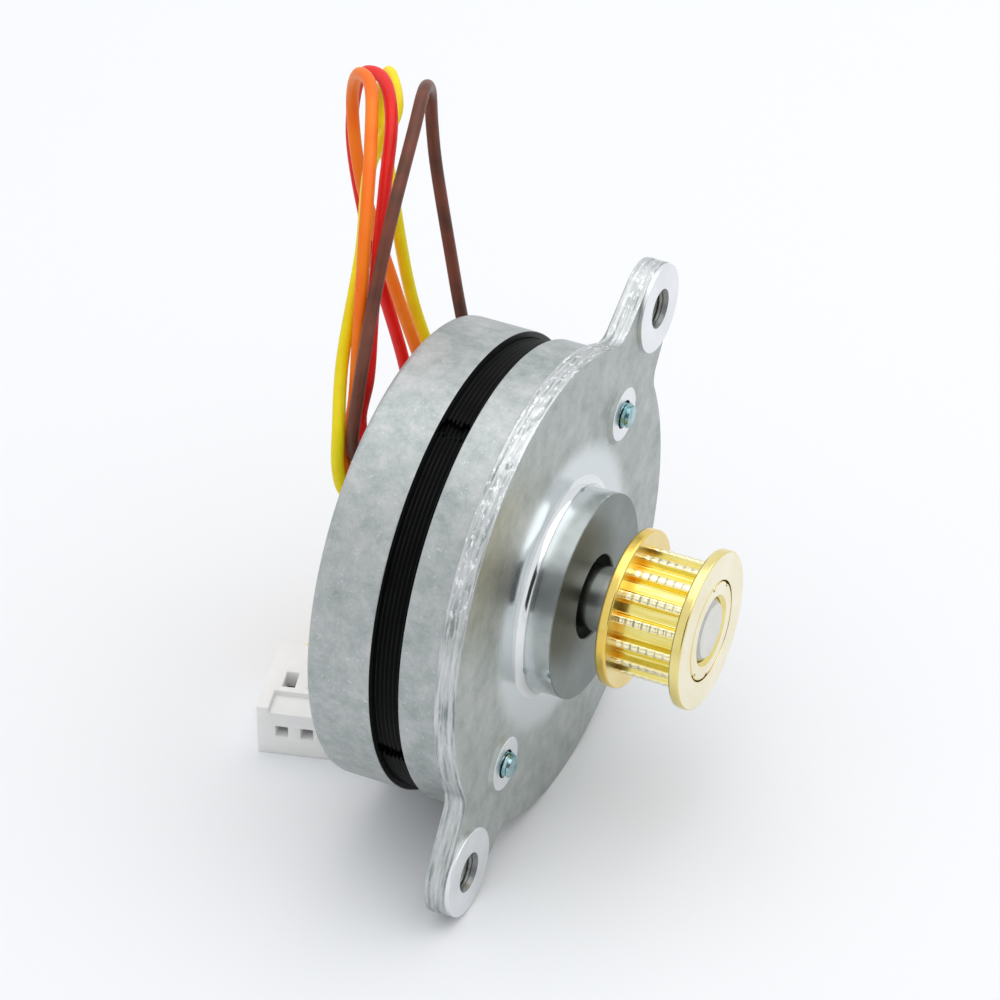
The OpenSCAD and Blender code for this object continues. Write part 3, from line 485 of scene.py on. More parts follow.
castAluminium = dieCastAluminium("die-cast aluminium", ("9BA4A2", "B3B8B7", "C6C6C6"), 0.5,
                                 flecks=0.5, grain=0.35)
faceTones = ("9AA29F", "AFB5B2", "C0C3C1")
castFace = dieCastAluminium("die-cast face", faceTones, 0.44, flecks=0.2, grain=0.2)
smoothCasting = dieCastAluminium("die-cast face with a turned ring", faceTones, 0.44, flecks=0.2,
                                 grain=0.2, turnedFrom=10.0, turnedTo=12.0, turnedRoughness=0.16)
trimmedEdge = trimmedCasting(tornAngle=345, tornFrom=11.5, tornTo=13.5)
machinedAluminium = turnedMetal("machined aluminium", "E2E4E6", "EEEFF1", 0.35)
# The tapped bore's dark grey is painted shade inside the hole, on the pads' machined aluminium
boreShadeAluminium = turnedMetal("tapped aluminium with painted shade", "747674", "989A98", 0.36)
bossAluminium = turnedMetal("turned boss wall", "DADDDE", "E6E8E8", 0.13, strength=0.1)
# The boss top is the same turned aluminium, painted darker as the shade the pulley casts on it
bossTopShade = turnedMetal("turned boss top darkened as painted shade", "747B78", "878E8B", 0.4, strength=0.1)
brass = turnedMetal("turned brass", "E3CE78", "F0E19C", 0.22, strength=0.15)
# The rear flange's brass is a darker, more orange copy of the same brass: painted shade
shadedRearBrass = turnedMetal("turned brass of the rear flange, darker as painted shade", "E9C458", "F1D478", 0.22, strength=0.15)
# Faced brass is paler than the turned brass: a painted reflection of the pale floor
brassFaceWithPaintedReflection = turnedMetal("faced brass", "F0E6C2", "F8F1DA", 0.3)
# The rear flange's face between the teeth is a darker copy of the faced brass: painted shade
shadedFlangeFace = turnedMetal("faced brass of the rear flange, darker as painted shade", "EBD084", "F2E0A8", 0.3)
groundSteel = turnedMetal("ground steel", "B0B0AC", "C8C8C4", 0.2)
shaftEnd = turnedMetal("faced steel", "D6D4CB", "E2E0D8", 0.3, strength=0.3)
zincSteel = plainMetal("blue zinc plated steel", "5E929A", "B0CACC", 0.24)
lamination = laminationSteel()
copper = windingCopper()
magnetAlloy = plainMetal("ground magnet alloy", "6E7072", "8A8C8E", 0.4)
bearingSteel = plainMetal("polished bearing steel", "B4B6B8", "CACCCE", 0.15)
shieldSteel = plainMetal("pressed steel shield", "9A9C9E", "B4B6B8", 0.3)
cageBrass = plainMetal("pressed cage brass", "B88A34", "D0A44A", 0.3)
springSteel = plainMetal("spring steel", "8A8C90", "A6A8AC", 0.25)
tinnedBrass = plainMetal("tin plated brass", "B8B8B4", "D2D2CE", 0.25)
whiteNylon = evenPolymer("white nylon", "F8F8F6", "FFFFFE", 0.4, subsurface=0.15)
blackNylon = evenPolymer("black nylon", "141517", "202224", 0.45)
# Black painted shade for the step between the rear cover and the stack
stepShadeBlack = evenPolymer("black painted shade at the stack's step", "070708", "101112", 0.5)
print("materials made")


plug = mouldedPiece("plugHousing", "plug_housing", whiteNylon, edge=0.15)
print("plug made")


# Leads: the routes repeat the points of the solids, from the grommet's face into the plug
leads = {
    "diameter": 1.0,
    "grommetFace": -13.3,
    "grommetRadius": 8.0,
    "grommetAngle": -25,
    "pitch": 1.3,
    "straight": 0.8,
    "plugPlace": (-20, 1.2, -16.2),
    "plugTurn": 15,
    "plugPitch": 2,
    "plugApproach": 1.8,
    "plugEntry": 2.5,
    "lengths": {"yellow": 0.1, "orange": 0.0984, "brown": 0.098, "red": 0.0927},
    "colours": {
        "yellow": ("F4DA00", "FFEE08"), "orange": ("FF6E08", "FF8212"),
        "brown": ("543426", "784030"), "red": ("D80E08", "F01A10"),
    },
    "routes": {
        "yellow": [
            (-15, -5, 6.75), (-16, -5, 7.75), (-16.5, -4.75, 9.5), (-16.75, -4, 12.25),
            (-18, -0.75, 15.75), (-18.75, 4.25, 22.5), (-21, 10.5, 26), (-21, 14.75, 28),
            (-24, 19.5, 28), (-25.25, 20.5, 24.25), (-22.25, 16.5, 18.5), (-20.25, 15.25, 11),
            (-18, 14.75, 4.75), (-17, 14.5, -0.75), (-19.5, 12, -9.25), (-22, 9.75, -15.25)],
        "orange": [
            (-15, -4, 7.25), (-16, -3.75, 8), (-16.75, -3.5, 9.5), (-16.5, -2, 13),
            (-17, 0, 17.5), (-18.25, 4, 24.75), (-20, 8.5, 28.75), (-22.5, 13.5, 30.75),
            (-24.5, 15.5, 30), (-25.75, 16.75, 26.5), (-24, 14.5, 21.25), (-20.5, 13, 13),
            (-17.5, 12.75, 4.25), (-16.25, 12.75, -3.5), (-17.75, 11.25, -10.5),
            (-21.25, 8.25, -16.25)],
        "brown": [
            (-15, -2.75, 8), (-15.5, -3, 8.75), (-15.75, -3.75, 10.75), (-15.5, -3, 15.5),
            (-16.25, 1, 20.25), (-16.5, 4.5, 25.25), (-17.5, 10.75, 29.75), (-18.5, 14.5, 30.75),
            (-19.75, 18, 28.25), (-19.75, 18.25, 25.25), (-19, 17.25, 22.75), (-16.75, 15.75, 13.5),
            (-14.75, 14.75, 4), (-15, 14.75, -4.25), (-17, 13.25, -10.75), (-18.5, 11, -16.5)],
        "red": [
            (-15, -1.5, 8.25), (-16, -1.25, 9), (-16.75, -0.5, 10.75), (-16.25, 0, 14.5),
            (-17, 2.5, 19), (-18.5, 7.75, 26), (-20, 12, 29.25), (-23, 16.5, 29.5),
            (-25.25, 18, 28.5), (-26.25, 18.5, 26.75), (-26.25, 17.5, 22.75), (-22.75, 13.75, 15.25),
            (-19.5, 13, 4.25), (-17.5, 10.25, -3.75), (-16.75, 9, -10.5), (-16.75, 7.25, -15)],
    },
}


def leadRoute(index, run):
    angle, turn = math.radians(leads["grommetAngle"]), math.radians(leads["plugTurn"])
    side, plugSide = (index - 1.5) * leads["pitch"], (index - 1.5) * leads["plugPitch"]
    y = leads["grommetRadius"] * math.sin(angle) + side * math.cos(angle)
    z = leads["grommetRadius"] * math.cos(angle) - side * math.sin(angle)
    start = [(leads["grommetFace"] - back, y, z) for back in (0, leads["straight"])]
    px, py, pz = leads["plugPlace"]
    end = [
        (px + plugSide * math.cos(turn) - before * math.sin(turn),
         py + plugSide * math.sin(turn) + before * math.cos(turn), pz)
        for before in (leads["plugApproach"], -leads["plugEntry"])]
    return smoothPath(start + list(run) + end)


for index, colour in enumerate(leads["routes"]):
    path = leadRoute(index, leads["routes"][colour])
    insulation = evenPolymer(colour + " PVC insulation", *leads["colours"][colour], 0.42, ior=1.4,
                             driftSize=2.38, peelSize=0.3846, peelDepth=0.03, paleFrom=0.65)
    lead = tubePiece(colour + "Lead", path, leads["diameter"] / 2, [insulation])
    declare(lead, "stator", "lead_" + colour)
print("leads laid")


# Front cover
frontCover = {
    "plateRadius": 18.5, "bodyRadius": 18.0, "plateFront": -0.3, "plateBack": -2.0,
    "skirtEnd": -5.1, "registerRadius": 17.52, "registerEnd": -4.3, "innerRadius": 16.8,
    "bossRadius": 8.0, "bossTop": 2.4, "openingRadius": 3.3, "pocketRadius": 4.51,
    "pocketFront": 1.0, "bossFillet": 0.75, "faceEdge": 0.16, "turnedRing": 11.0,
    "earCircle": 22.5, "earEnd": 3.56, "earFlare": 11.5, "earFillet": 2.0,
    "earCut": 1.65, "screwCircle": 13.95, "screwCut": 1.25, "cutSpan": (-3, 1),
    "faceRow": 16, "rimRows": (-0.6, -1.8, 7), "rimFrom": 0.12,
    "earSector": 20, "earColumns": 160, "restColumns": 140,
}
# The die's parting line on the rim, a ridge with a groove beside it, and the tears across it
partingLine = {
    "span": (-1.9, -0.5), "ridge": -1.55, "ridgeWidth": 0.12, "ridgeHeight": 0.03, "groove": -1.0,
    "grooveWidth": 0.2, "grooveShare": 0.6, "tornFrom": 296, "tornTo": 34, "tornFade": 6,
    "tearDepth": 0.04, "tearRear": -1.4, "tearFront": -0.6, "rearFade": 0.2, "frontFade": 0.1,
}


# Radius of the plate's rim for an angle from the ear line: a straight flank leans outwards by the
# ear's flare, the ear's round end and the fillet at its root are arcs, and the rest is the circle.
def plateRim(angle):
    f = frontCover
    a = np.radians(np.abs(angle))
    flare = math.radians(f["earFlare"])
    rootCircle = f["plateRadius"] + f["earFillet"]
    lift = f["earEnd"] + f["earCircle"] * math.sin(flare)
    root = math.asin((lift + f["earFillet"]) / rootCircle) - flare
    flankEnd = math.atan2(f["earEnd"] * math.cos(flare), f["earCircle"] + f["earEnd"] * math.sin(flare))
    rootX = rootCircle * math.cos(root) - f["earFillet"] * math.sin(flare)
    rootY = rootCircle * math.sin(root) - f["earFillet"] * math.cos(flare)
    flankStart = math.atan2(rootY, rootX)
    end = f["earCircle"] * np.cos(a) + np.sqrt(
        np.maximum(f["earEnd"] ** 2 - (f["earCircle"] * np.sin(a)) ** 2, 0))
    flank = lift / np.sin(flare + a)
    fillet = rootCircle * np.cos(a - root) - np.sqrt(
        np.maximum(f["earFillet"] ** 2 - (rootCircle * np.sin(a - root)) ** 2, 0))
    circle = f["plateRadius"] + 0 * a
    return np.select([a < flankEnd, a < flankStart, a < root], [end, flank, fillet], circle)


# What the parting line adds to the rim's radius. The trimming tool tore it between two angles,
# which lie on the upper left.
def partingWave(x, angle):
    p = partingLine
    ridge = np.exp(-((x - p["ridge"]) / p["ridgeWidth"]) ** 2)
    groove = p["grooveShare"] * np.exp(-((x - p["groove"]) / p["grooveWidth"]) ** 2)
    chatter = np.random.default_rng(4).normal(size=len(angle))
    turned = np.degrees(angle)
    torn = (np.clip((turned - p["tornFrom"]) / p["tornFade"], 0, 1)
            + np.clip((p["tornTo"] - turned) / p["tornFade"], 0, 1))
    band = (np.clip((x - p["tearRear"]) / p["rearFade"], 0, 1)
            * np.clip((p["tearFront"] - x) / p["frontFade"], 0, 1))
    rear, front = p["span"]
    wave = p["ridgeHeight"] * (ridge - groove) + p["tearDepth"] * chatter * torn * band
    return np.where((x > rear) & (x < front), wave, 0)


# The cover is one closed grid: the profile's points are its rows, and its columns go round,
# close together at the ears. Rows on the plate's rim follow the rim's outline.
def frontCoverPiece():
    f = frontCover
    front, back, top = f["plateFront"], f["plateBack"], f["bossTop"]
    rim, body, inner, boss = f["plateRadius"], f["bodyRadius"], f["innerRadius"], f["bossRadius"]
    corners = (
        [(back, f["pocketRadius"], 0.02), (f["pocketFront"], f["pocketRadius"], 0.05),
         (f["pocketFront"], f["openingRadius"], 0.05), (top, f["openingRadius"], 0.16),
         (top, boss, 0.06), (front, boss, f["bossFillet"]), (front, f["turnedRing"], 0),
         (front, f["faceRow"], 0), (front, rim, f["faceEdge"])]
        + [(x, rim, 0) for x in np.linspace(*f["rimRows"])]
        + [(back, rim, 0.06), (back, body, 0.04), (f["skirtEnd"], body, 0.08),
           (f["skirtEnd"], f["registerRadius"], 0.02), (f["registerEnd"], f["registerRadius"], 0.02),
           (f["registerEnd"], inner, 0.1), (back, inner, 0.4)])
    profile = softCorners(corners, steps=5)
    sector = f["earSector"]
    half = np.concatenate([np.linspace(-sector, sector, f["earColumns"], endpoint=False),
                           np.linspace(sector, 180 - sector, f["restColumns"], endpoint=False)])
    outline = plateRim(np.concatenate([half, half]))
    angle = np.radians(np.concatenate([half, half + 180]) + earLine)
    x, radius = profile[:, 0:1] + 0 * angle, profile[:, 1:2] + 0 * angle
    rimFrom = body + f["rimFrom"]
    radius = radius + np.where(radius > rimFrom, outline - rim + partingWave(x, angle), 0)
    # length along the rim, for the streaks of its finish
    edge = np.stack([outline * np.sin(angle), outline * np.cos(angle)], axis=-1)
    along = np.cumsum(np.linalg.norm(edge - np.roll(edge, 1, axis=0), axis=1))
    grid = np.stack([x, radius * np.sin(angle), radius * np.cos(angle)], axis=-1)
    lathe = np.stack([x, radius, along + 0 * x], axis=-1)
    # the boss's top and opening get a darker copy of the turned aluminium, painted shade from the
    # pulley;
    # its wall, the plate's face and its rim have their own finishes; the small amounts take each
    # rounding to one side
    mx, mr = ((profile + np.roll(profile, -1, axis=0)) / 2).T
    onBoss = mx > front - 0.05
    zones = np.select([onBoss & (mr < boss - 0.1) | (mx > top - 0.07),
                       onBoss & (mr < boss + f["bossFillet"] - 0.05), mx > front - 0.02,
                       (mr > rimFrom) & (mx > back + 0.03)], [1, 2, 3, 4], 0)
    return gridPiece("frontCover", grid,
                     [castAluminium, bossTopShade, bossAluminium, smoothCasting, trimmedEdge],
                     zones, lathe=lathe, smoothAngle=38)


def holeCutter(radius, axis):
    rear, front = frontCover["cutSpan"]
    profile = np.array([(rear, 0), (rear, radius), (front, radius), (front, 0)], dtype=float)
    return turnedPiece("cutter", profile, [], axis=axis, columns=96, closed=False)


cover = frontCoverPiece()
carve(cover, [holeCutter(frontCover[hole + "Cut"], around(frontCover[hole + "Circle"], earLine + turn))
              for turn in (0, 180) for hole in ("ear", "screw")], smoothAngle=38)
declare(cover, "stator", "front_cover")


# Machined pads: a tapped sleeve in each ear, with its pad ring, and a ring round each screw tip
tappedPad = {"top": 0.0, "foot": -0.34, "padRadius": 3.5, "sleeve": 1.72, "sleeveEnd": -1.98,
             "boreRadius": 1.25, "boreRear": -1.92, "boreRows": 46, "threadFront": -0.2,
             "threadDepth": 0.2, "pitch": 0.5, "countersink": 1.57, "boreShadeRadius": 1.5,
             "boreShadeFront": -0.1}
screwPad = {"top": 0.0, "foot": -0.34, "topRadius": 2.08, "footRadius": 2.55, "bore": 1.12,
            "sleeveEnd": -1.9, "sleeve": 1.4}


# Thread: between two places along the shaft, the rows of one radius get a triangular wave that
# climbs one pitch in each turn and fades out at both ends
def threadWave(rear, front, threadRadius, depth, pitch):
    def wave(x, radius, turn):
        tooth = np.abs(((x / pitch - turn / (2 * math.pi)) % 1) * 2 - 1)
        fade = np.clip((x - rear) / pitch, 0, 1) * np.clip((front - x) / (0.5 * pitch), 0, 1)
        return np.where(np.isclose(radius, threadRadius), depth * tooth * fade, 0)
    return wave


def earPad(name, axis):
    p = tappedPad
    top, foot, rear, bore = p["top"], p["foot"], p["sleeveEnd"], p["boreRadius"]
    outer = softCorners([
        (top, p["countersink"], 0.02), (top, p["padRadius"], 0.06), (foot, p["padRadius"], 0.01),
        (foot, p["sleeve"], 0.01), (rear, p["sleeve"], 0.01), (rear, bore, 0)], closed=False, steps=3)
    inner = np.linspace((p["boreRear"], bore), (foot, bore), p["boreRows"])
    return turnedPiece(
        name, np.vstack([outer, inner]), [machinedAluminium, boreShadeAluminium], axis=axis, columns=96,
        # the bore behind the pad's face gets the dark grey: painted shade inside the hole
        zones=lambda x, radius: ((radius < p["boreShadeRadius"]) & (x < p["boreShadeFront"])) * 1,
        wave=threadWave(rear, p["threadFront"], bore, p["threadDepth"], p["pitch"]))


def screwRing(name, axis):
    p = screwPad
    top, foot, rear = p["top"], p["foot"], p["sleeveEnd"]
    corners = [(top, p["bore"], 0.04), (top, p["topRadius"], 0.08), (foot, p["footRadius"], 0.05),
               (foot, p["sleeve"], 0.01), (rear, p["sleeve"], 0.01), (rear, p["bore"], 0.01)]
    return turnedPiece(name, softCorners(corners, steps=3), [castFace, machinedAluminium],
                       axis=axis, columns=96, zones=inFrontOf(top - 0.03))


for side, turn in (("upper", 0), ("lower", 180)):
    pad = earPad(side + "EarPad", around(frontCover["earCircle"], earLine + turn))
    declare(pad, "stator")
    ring = screwRing(side + "ScrewPad", around(frontCover["screwCircle"], earLine + turn))
    declare(ring, "stator")
print("front cover made")


# Rear cover, turned round the shaft axis, and the columns that the screws pass through
rearCover = {"face": -12.6, "front": -7.5, "radius": 18.0, "edge": 0.4, "opening": 3.0,
             "registerRadius": 17.52, "registerEnd": -8.3, "innerRadius": 16.8, "floor": -11.1,
             "hubRadius": 6.0, "hubTop": -8.9, "pocketRadius": 4.51, "pocketFloor": -12.1,
             "faceRows": (8, 14)}
screwColumns = {"radius": 2.1, "bore": 1.1,
                "spans": {"front": (-4.3, -2.1), "rear": (-11.0, -8.3)}}


def rearCoverPiece():
    c = rearCover
    face, front, floor, top = c["face"], c["front"], c["floor"], c["hubTop"]
    register, inner = c["registerRadius"], c["innerRadius"]
    hub, pocket = c["hubRadius"], c["pocketRadius"]
    corners = [
        (face, c["opening"], 0.12), *[(face, radius, 0) for radius in c["faceRows"]],
        (face, c["radius"], c["edge"]), (front, c["radius"], 0.08), (front, register, 0.02),
        (c["registerEnd"], register, 0.02), (c["registerEnd"], inner, 0.1), (floor, inner, 0.4),
        (floor, hub, 0.3), (top, hub, 0.15), (top, pocket, 0.1), (c["pocketFloor"], pocket, 0.05),
        (c["pocketFloor"], c["opening"], 0.05)]
    # the ring of the face that meets the stack is painted black: painted shade in the step to the stack
    return turnedPiece("rearCover", softCorners(corners, steps=5), [castAluminium, stepShadeBlack],
                       columns=256, smoothAngle=38, zones=lambda x, radius: (
                           (x > front - 0.005) & (radius < c["radius"] - 0.06)) * 1)


cover = rearCoverPiece()
declare(cover, "stator", "rear_cover")
bore, radius = screwColumns["bore"], screwColumns["radius"]
for name, (rear, front) in screwColumns["spans"].items():
    profile = np.array([(rear, bore), (rear, radius), (front, radius), (front, bore)])
    for side, turn in (("Upper", 0), ("Lower", 180)):
        column = turnedPiece(name + side + "Column", profile, [castAluminium],
                             axis=around(frontCover["screwCircle"], earLine + turn), columns=64)
        declare(column, "stator")
print("rear cover made")


# Sheet ends in the notches of the stack's rim: from both walls of each notch every sheet reaches
# in as a small block. Its reach is the shortest plus the spread times the fractional part of a
# multiple of the scatter, so that neighbours differ.
stackNotch = {"count": 4, "angle": earLine + 22.5, "halfWidth": 0.85, "floor": 16.98, "top": 17.48,
              "rear": -7.7, "sheets": 8, "slit": 0.08, "shortest": 0.08, "spread": 0.42,
              "scatter": 0.618, "sunk": 0.05, "edge": 0.07}


def sheetEnds():
    s = stackNotch
    notch, sheet, side, i, j, k = np.meshgrid(
        np.arange(s["count"]), np.arange(s["sheets"]), (-1, 1), (0, 1), (0, 1), (0, 1), indexing="ij")
    reach = s["shortest"] + s["spread"] * ((2 * sheet + side + 5 * notch) * s["scatter"] % 1)
    x = s["rear"] + sheet * sheetPitch + s["slit"] / 2 + i * (sheetPitch - s["slit"])
    wall, tip = side * (s["halfWidth"] + s["sunk"]), side * (s["halfWidth"] - reach)
    across = np.where(j == 0, np.minimum(wall, tip), np.maximum(wall, tip))
    outward = s["floor"] + k * (s["top"] - s["floor"])
    turn = np.radians(s["angle"] + 360 / s["count"] * notch)
    points = np.stack([x, outward * np.sin(turn) + across * np.cos(turn),
                       outward * np.cos(turn) - across * np.sin(turn)], axis=-1).reshape(-1, 3)
    # corners of one block are numbered 4 i + 2 j + k
    block = np.array([(0, 2, 6, 4), (1, 5, 7, 3), (0, 4, 5, 1), (2, 3, 7, 6), (0, 1, 3, 2),
                      (4, 6, 7, 5)])
    faces = (8 * np.arange(len(points) // 8)[:, None, None] + block).reshape(-1, 4)
    mesh = bpy.data.meshes.new("sheetEnds")
    mesh.from_pydata((points * mm).tolist(), [], faces.tolist())
    mesh.materials.append(lamination)
    piece = newObject("sheetEnds", mesh)
    breakEdges(piece, s["edge"])
    return piece


declare(sheetEnds(), "stator")
print("sheet ends made")


# Case screws: pan heads with a cross recess at the rear, threaded tips at the front
caseScrew = {"headRear": -13.9, "headFront": -12.6, "headRadius": 1.9, "shankRadius": 1.0,
             "tip": 0.62, "tipChamfer": 0.2, "threadRear": -2.9, "threadDepth": 0.17, "pitch": 0.4,
             "runOut": 0.1, "threadRows": 90, "crossLength": 2.28, "crossWidth": 0.45,
             "crossDepth": 0.65, "crossTurn": 20, "mouthSize": 1.12, "floorSize": 0.86}


# Cross recess: a twelve-cornered cross, drawn in from its mouth to its floor
def crossCutter(axis, turn):
    s = caseScrew
    w, h = s["crossWidth"] / 2, s["crossLength"] / 2
    flat = np.array([(w, w), (w, h), (-w, h), (-w, w), (-h, w), (-h, -w),
                     (-w, -w), (-w, -h), (w, -h), (w, -w), (h, -w), (h, w)])
    turned = np.radians(turn)
    flat = flat @ np.array([(np.cos(turned), np.sin(turned)), (-np.sin(turned), np.cos(turned))])
    depth = np.array([-0.5, s["crossDepth"]])[:, None]      # the mouth stands out of the head
    size = np.array([s["mouthSize"], s["floorSize"]])[:, None]
    grid = np.stack([s["headRear"] + depth + 0 * flat[:, 0], axis[0] + flat[:, 0] * size,
                     axis[1] + flat[:, 1] * size], axis=-1)
    return gridPiece("cutter", grid, [], closedRows=False, capEnds=True)


def screwPiece(name, axis):
    s = caseScrew
    rear, front, radius = s["threadRear"], s["tip"] - s["tipChamfer"], s["shankRadius"]
    head = softCorners([
        (s["headRear"], 0, 0), (s["headRear"], s["headRadius"], 0.55),
        (s["headFront"], s["headRadius"], 0.06), (s["headFront"], radius, 0.05),
        (rear - s["runOut"], radius, 0)], closed=False, steps=5)
    shank = np.linspace((rear + s["runOut"], radius), (front, radius), s["threadRows"])
    tip = np.array([(s["tip"], radius - s["tipChamfer"]), (s["tip"], 0)])
    return turnedPiece(name, np.vstack([head, shank, tip]), [zincSteel], axis=axis, columns=72,
                       closed=False, smoothAngle=50,
                       wave=threadWave(rear, s["tip"], radius, -s["threadDepth"], s["pitch"]))


for side, turn in (("upper", 0), ("lower", 180)):
    axis = around(frontCover["screwCircle"], earLine + turn)
    screw = screwPiece(side + "CaseScrew", axis)
    carve(screw, [crossCutter(axis, caseScrew["crossTurn"] + turn)], smoothAngle=45)
    declare(screw, "stator", "case_screws" if side == "upper" else None)
print("screws made")


# Shaft: ground bar with chamfered ends and a shoulder between the bearings
shaftSizes = {"tail": -12.2, "front": 11.9, "radius": 2.5, "shoulder": 3.1, "shoulderRear": -8.75,
              "shoulderFront": -2.0, "chamfer": 0.4, "faceRow": 1.2}


def shaftPiece():
    s = shaftSizes
    tail, front, radius, chamfer = s["tail"], s["front"], s["radius"], s["chamfer"]
    corners = [
        (tail, 0, 0), (tail, radius - chamfer, 0.05), (tail + chamfer, radius, 0.05),
        (s["shoulderRear"], radius, 0.04), (s["shoulderRear"], s["shoulder"], 0.04),
        (s["shoulderFront"], s["shoulder"], 0.04), (s["shoulderFront"], radius, 0.04),
        (front - chamfer, radius, 0.05), (front, radius - chamfer, 0.06), (front, s["faceRow"], 0),
        (front, 0, 0)]
    return turnedPiece("shaft", softCorners(corners, closed=False), [groundSteel, shaftEnd],
                       columns=128, closed=False, zones=inFrontOf(front - 0.01))


declare(shaftPiece(), "rotor", "shaft")


# Pulley: sixteen teeth with rounded tips between two pressed-on flanges
pulley = {"teeth": 16, "tipRadius": 4.92, "rootRadius": 4.23, "spaceWidth": 0.84, "flank": 20,
          "phase": 5.7, "tipRound": 0.13, "rootRound": 0.12, "rear": 5.15, "teethRear": 6.0,
          "teethFront": 11.05, "front": 11.9, "noseRadius": 3.85, "bore": 2.51, "boreChamfer": 0.3,
          "flangeRadius": 6.15, "flangeEdge": 0.16, "markPitch": 0.66, "markDepth": 0.05,
          "markReach": 0.3, "rows": 73, "sunk": 0.05, "sleeveBore": 2.6, "seam": 0.1,
          "stakes": (5, 49, 193, 237), "stakeWidth": 3, "stakeDepth": 0.16, "stakeLength": 0.5,
          "shadeLength": 0.8}
toothBrass = milledBrass(pulley["rootRadius"], pulley["tipRadius"], pulley["teethRear"],
                         pulley["shadeLength"])


# Toothed sleeve: the flat outline has a flank that leans by the flank angle from the bottom of each
# space to the tip, and is repeated round the shaft. Milling marks cut the tips into a row of round
# beads along the shaft, with narrow grooves between them.
def toothedSleeve():
    p = pulley
    teeth, tipRadius, rootRadius = p["teeth"], p["tipRadius"], p["rootRadius"]
    step = 2 * math.pi / teeth
    halfBottom = p["spaceWidth"] / 2
    halfTop = halfBottom + (tipRadius - rootRadius) * math.tan(math.radians(p["flank"]))
    topAngle = math.asin(halfTop / tipRadius)
    bottomAngle = math.asin(halfBottom / rootRadius)
    tip = np.linspace(-step / 2 + topAngle, step / 2 - topAngle, 6)
    space = np.linspace(step / 2 - bottomAngle, step / 2 + bottomAngle, 5)
    tipCuts, spaceCuts = 0 * tip, 0 * space
    tipCuts[[0, -1]], spaceCuts[[0, -1]] = p["tipRound"], p["rootRound"]
    radii = np.tile(np.concatenate([0 * tip + tipRadius, 0 * space + rootRadius]), teeth)
    cuts = np.tile(np.concatenate([tipCuts, spaceCuts]), teeth)
    starts = math.radians(p["phase"]) + step * np.arange(teeth)
    turn = (starts[:, None] + np.concatenate([tip, space])).ravel()
    flat = softCorners(np.stack([radii * np.sin(turn), radii * np.cos(turn), cuts], axis=1), steps=3)
    x = np.linspace(p["teethRear"] - p["sunk"], p["teethFront"] + p["sunk"], p["rows"])[:, None]
    radius = np.linalg.norm(flat, axis=1)[None, :]
    mark = 1 - np.abs(np.sin(math.pi * (x - p["teethRear"]) / p["markPitch"]))
    atTip = np.clip((radius - tipRadius + p["markReach"]) / p["markReach"], 0, 1) ** 2
    scale = 1 - p["markDepth"] * mark * atTip / radius
    outer = np.stack([x + 0 * radius, flat[:, 0] * scale, flat[:, 1] * scale], axis=-1)
    scale = p["sleeveBore"] / radius + 0 * x
    bore = np.stack([x + 0 * radius, flat[:, 0] * scale, flat[:, 1] * scale], axis=-1)
    grid = np.concatenate([outer, bore[[-1, 0]]])
    lathe = np.stack([grid[..., 0], np.linalg.norm(grid[..., 1:], axis=-1), 0 * grid[..., 0]], axis=-1)
    return gridPiece("pulleyTeeth", grid, [toothBrass], lathe=lathe, smoothAngle=50)


declare(toothedSleeve(), "rotor", "pulley_hub")


# Stake marks: narrow notches in the nose's rim where the flange is staked on
def stakeMarks(x, radius, turn):
    p = pulley
    notches = sum(np.exp(-((np.degrees(turn) - place) / p["stakeWidth"]) ** 2) for place in p["stakes"])
    atRim = (radius > p["noseRadius"] - 0.2) & (x > p["front"] - p["stakeLength"])
    return np.where(atRim, -p["stakeDepth"] * notches, 0)


def noseSleeve():
    p = pulley
    rear, front, radius = p["rear"], p["front"], p["noseRadius"]
    bore, chamfer = p["bore"], p["boreChamfer"]
    corners = [(rear, bore + chamfer, 0.02), (rear, radius, 0.04), (front, radius, 0.18),
               (front, bore + chamfer, 0.03), (front - chamfer, bore, 0.03),
               (rear + chamfer, bore, 0.03)]
    return turnedPiece("pulleyNose", softCorners(corners), [brass, brassFaceWithPaintedReflection], columns=360,
                       zones=inFrontOf(front - 0.02), wave=stakeMarks)


def flangePiece(name, rear, front, finish):
    inner, outer = pulley["noseRadius"] + pulley["seam"], pulley["flangeRadius"]
    edge = pulley["flangeEdge"]
    corners = [(rear, inner, 0.04), (rear, outer, edge), (front, outer, edge), (front, inner, 0.04)]
    return turnedPiece(name, softCorners(corners), finish, columns=192, zones=inFrontOf(front - 0.02))


declare(noseSleeve(), "rotor")
flange = flangePiece("pulleyRearFlange", pulley["rear"], pulley["teethRear"], [shadedRearBrass, shadedFlangeFace])
declare(flange, "rotor", "pulley_rear_flange")
flange = flangePiece("pulleyFrontFlange", pulley["teethFront"], pulley["front"], [brass, brassFaceWithPaintedReflection])
declare(flange, "rotor", "pulley_front_flange")
print("pulley made")


mouldedPiece("leadGrommet", "lead_grommet", blackNylon, edge=0.12)

# Nodes that stay as they are get their finish
finishes = {
    "stator_stack": lamination, "rotor_cup_front": lamination, "rotor_cup_rear": lamination,
    "rotor_magnet": magnetAlloy, "front_insulator": blackNylon, "rear_insulator": blackNylon,
    "coils": copper, "wave_washer": springSteel, "plug_terminals": tinnedBrass,
}
for end in ("front", "rear"):
    finishes[end + "_bearing_outer_ring"] = bearingSteel
    finishes[end + "_bearing_inner_ring"] = bearingSteel
    finishes[end + "_bearing_balls"] = bearingSteel
    finishes[end + "_bearing_cage"] = cageBrass
    finishes[end + "_bearing_shields"] = shieldSteel
for node, material in finishes.items():
    for materialSlot in nodes[node].material_slots:
        materialSlot.material = material
print("inner pieces finished")


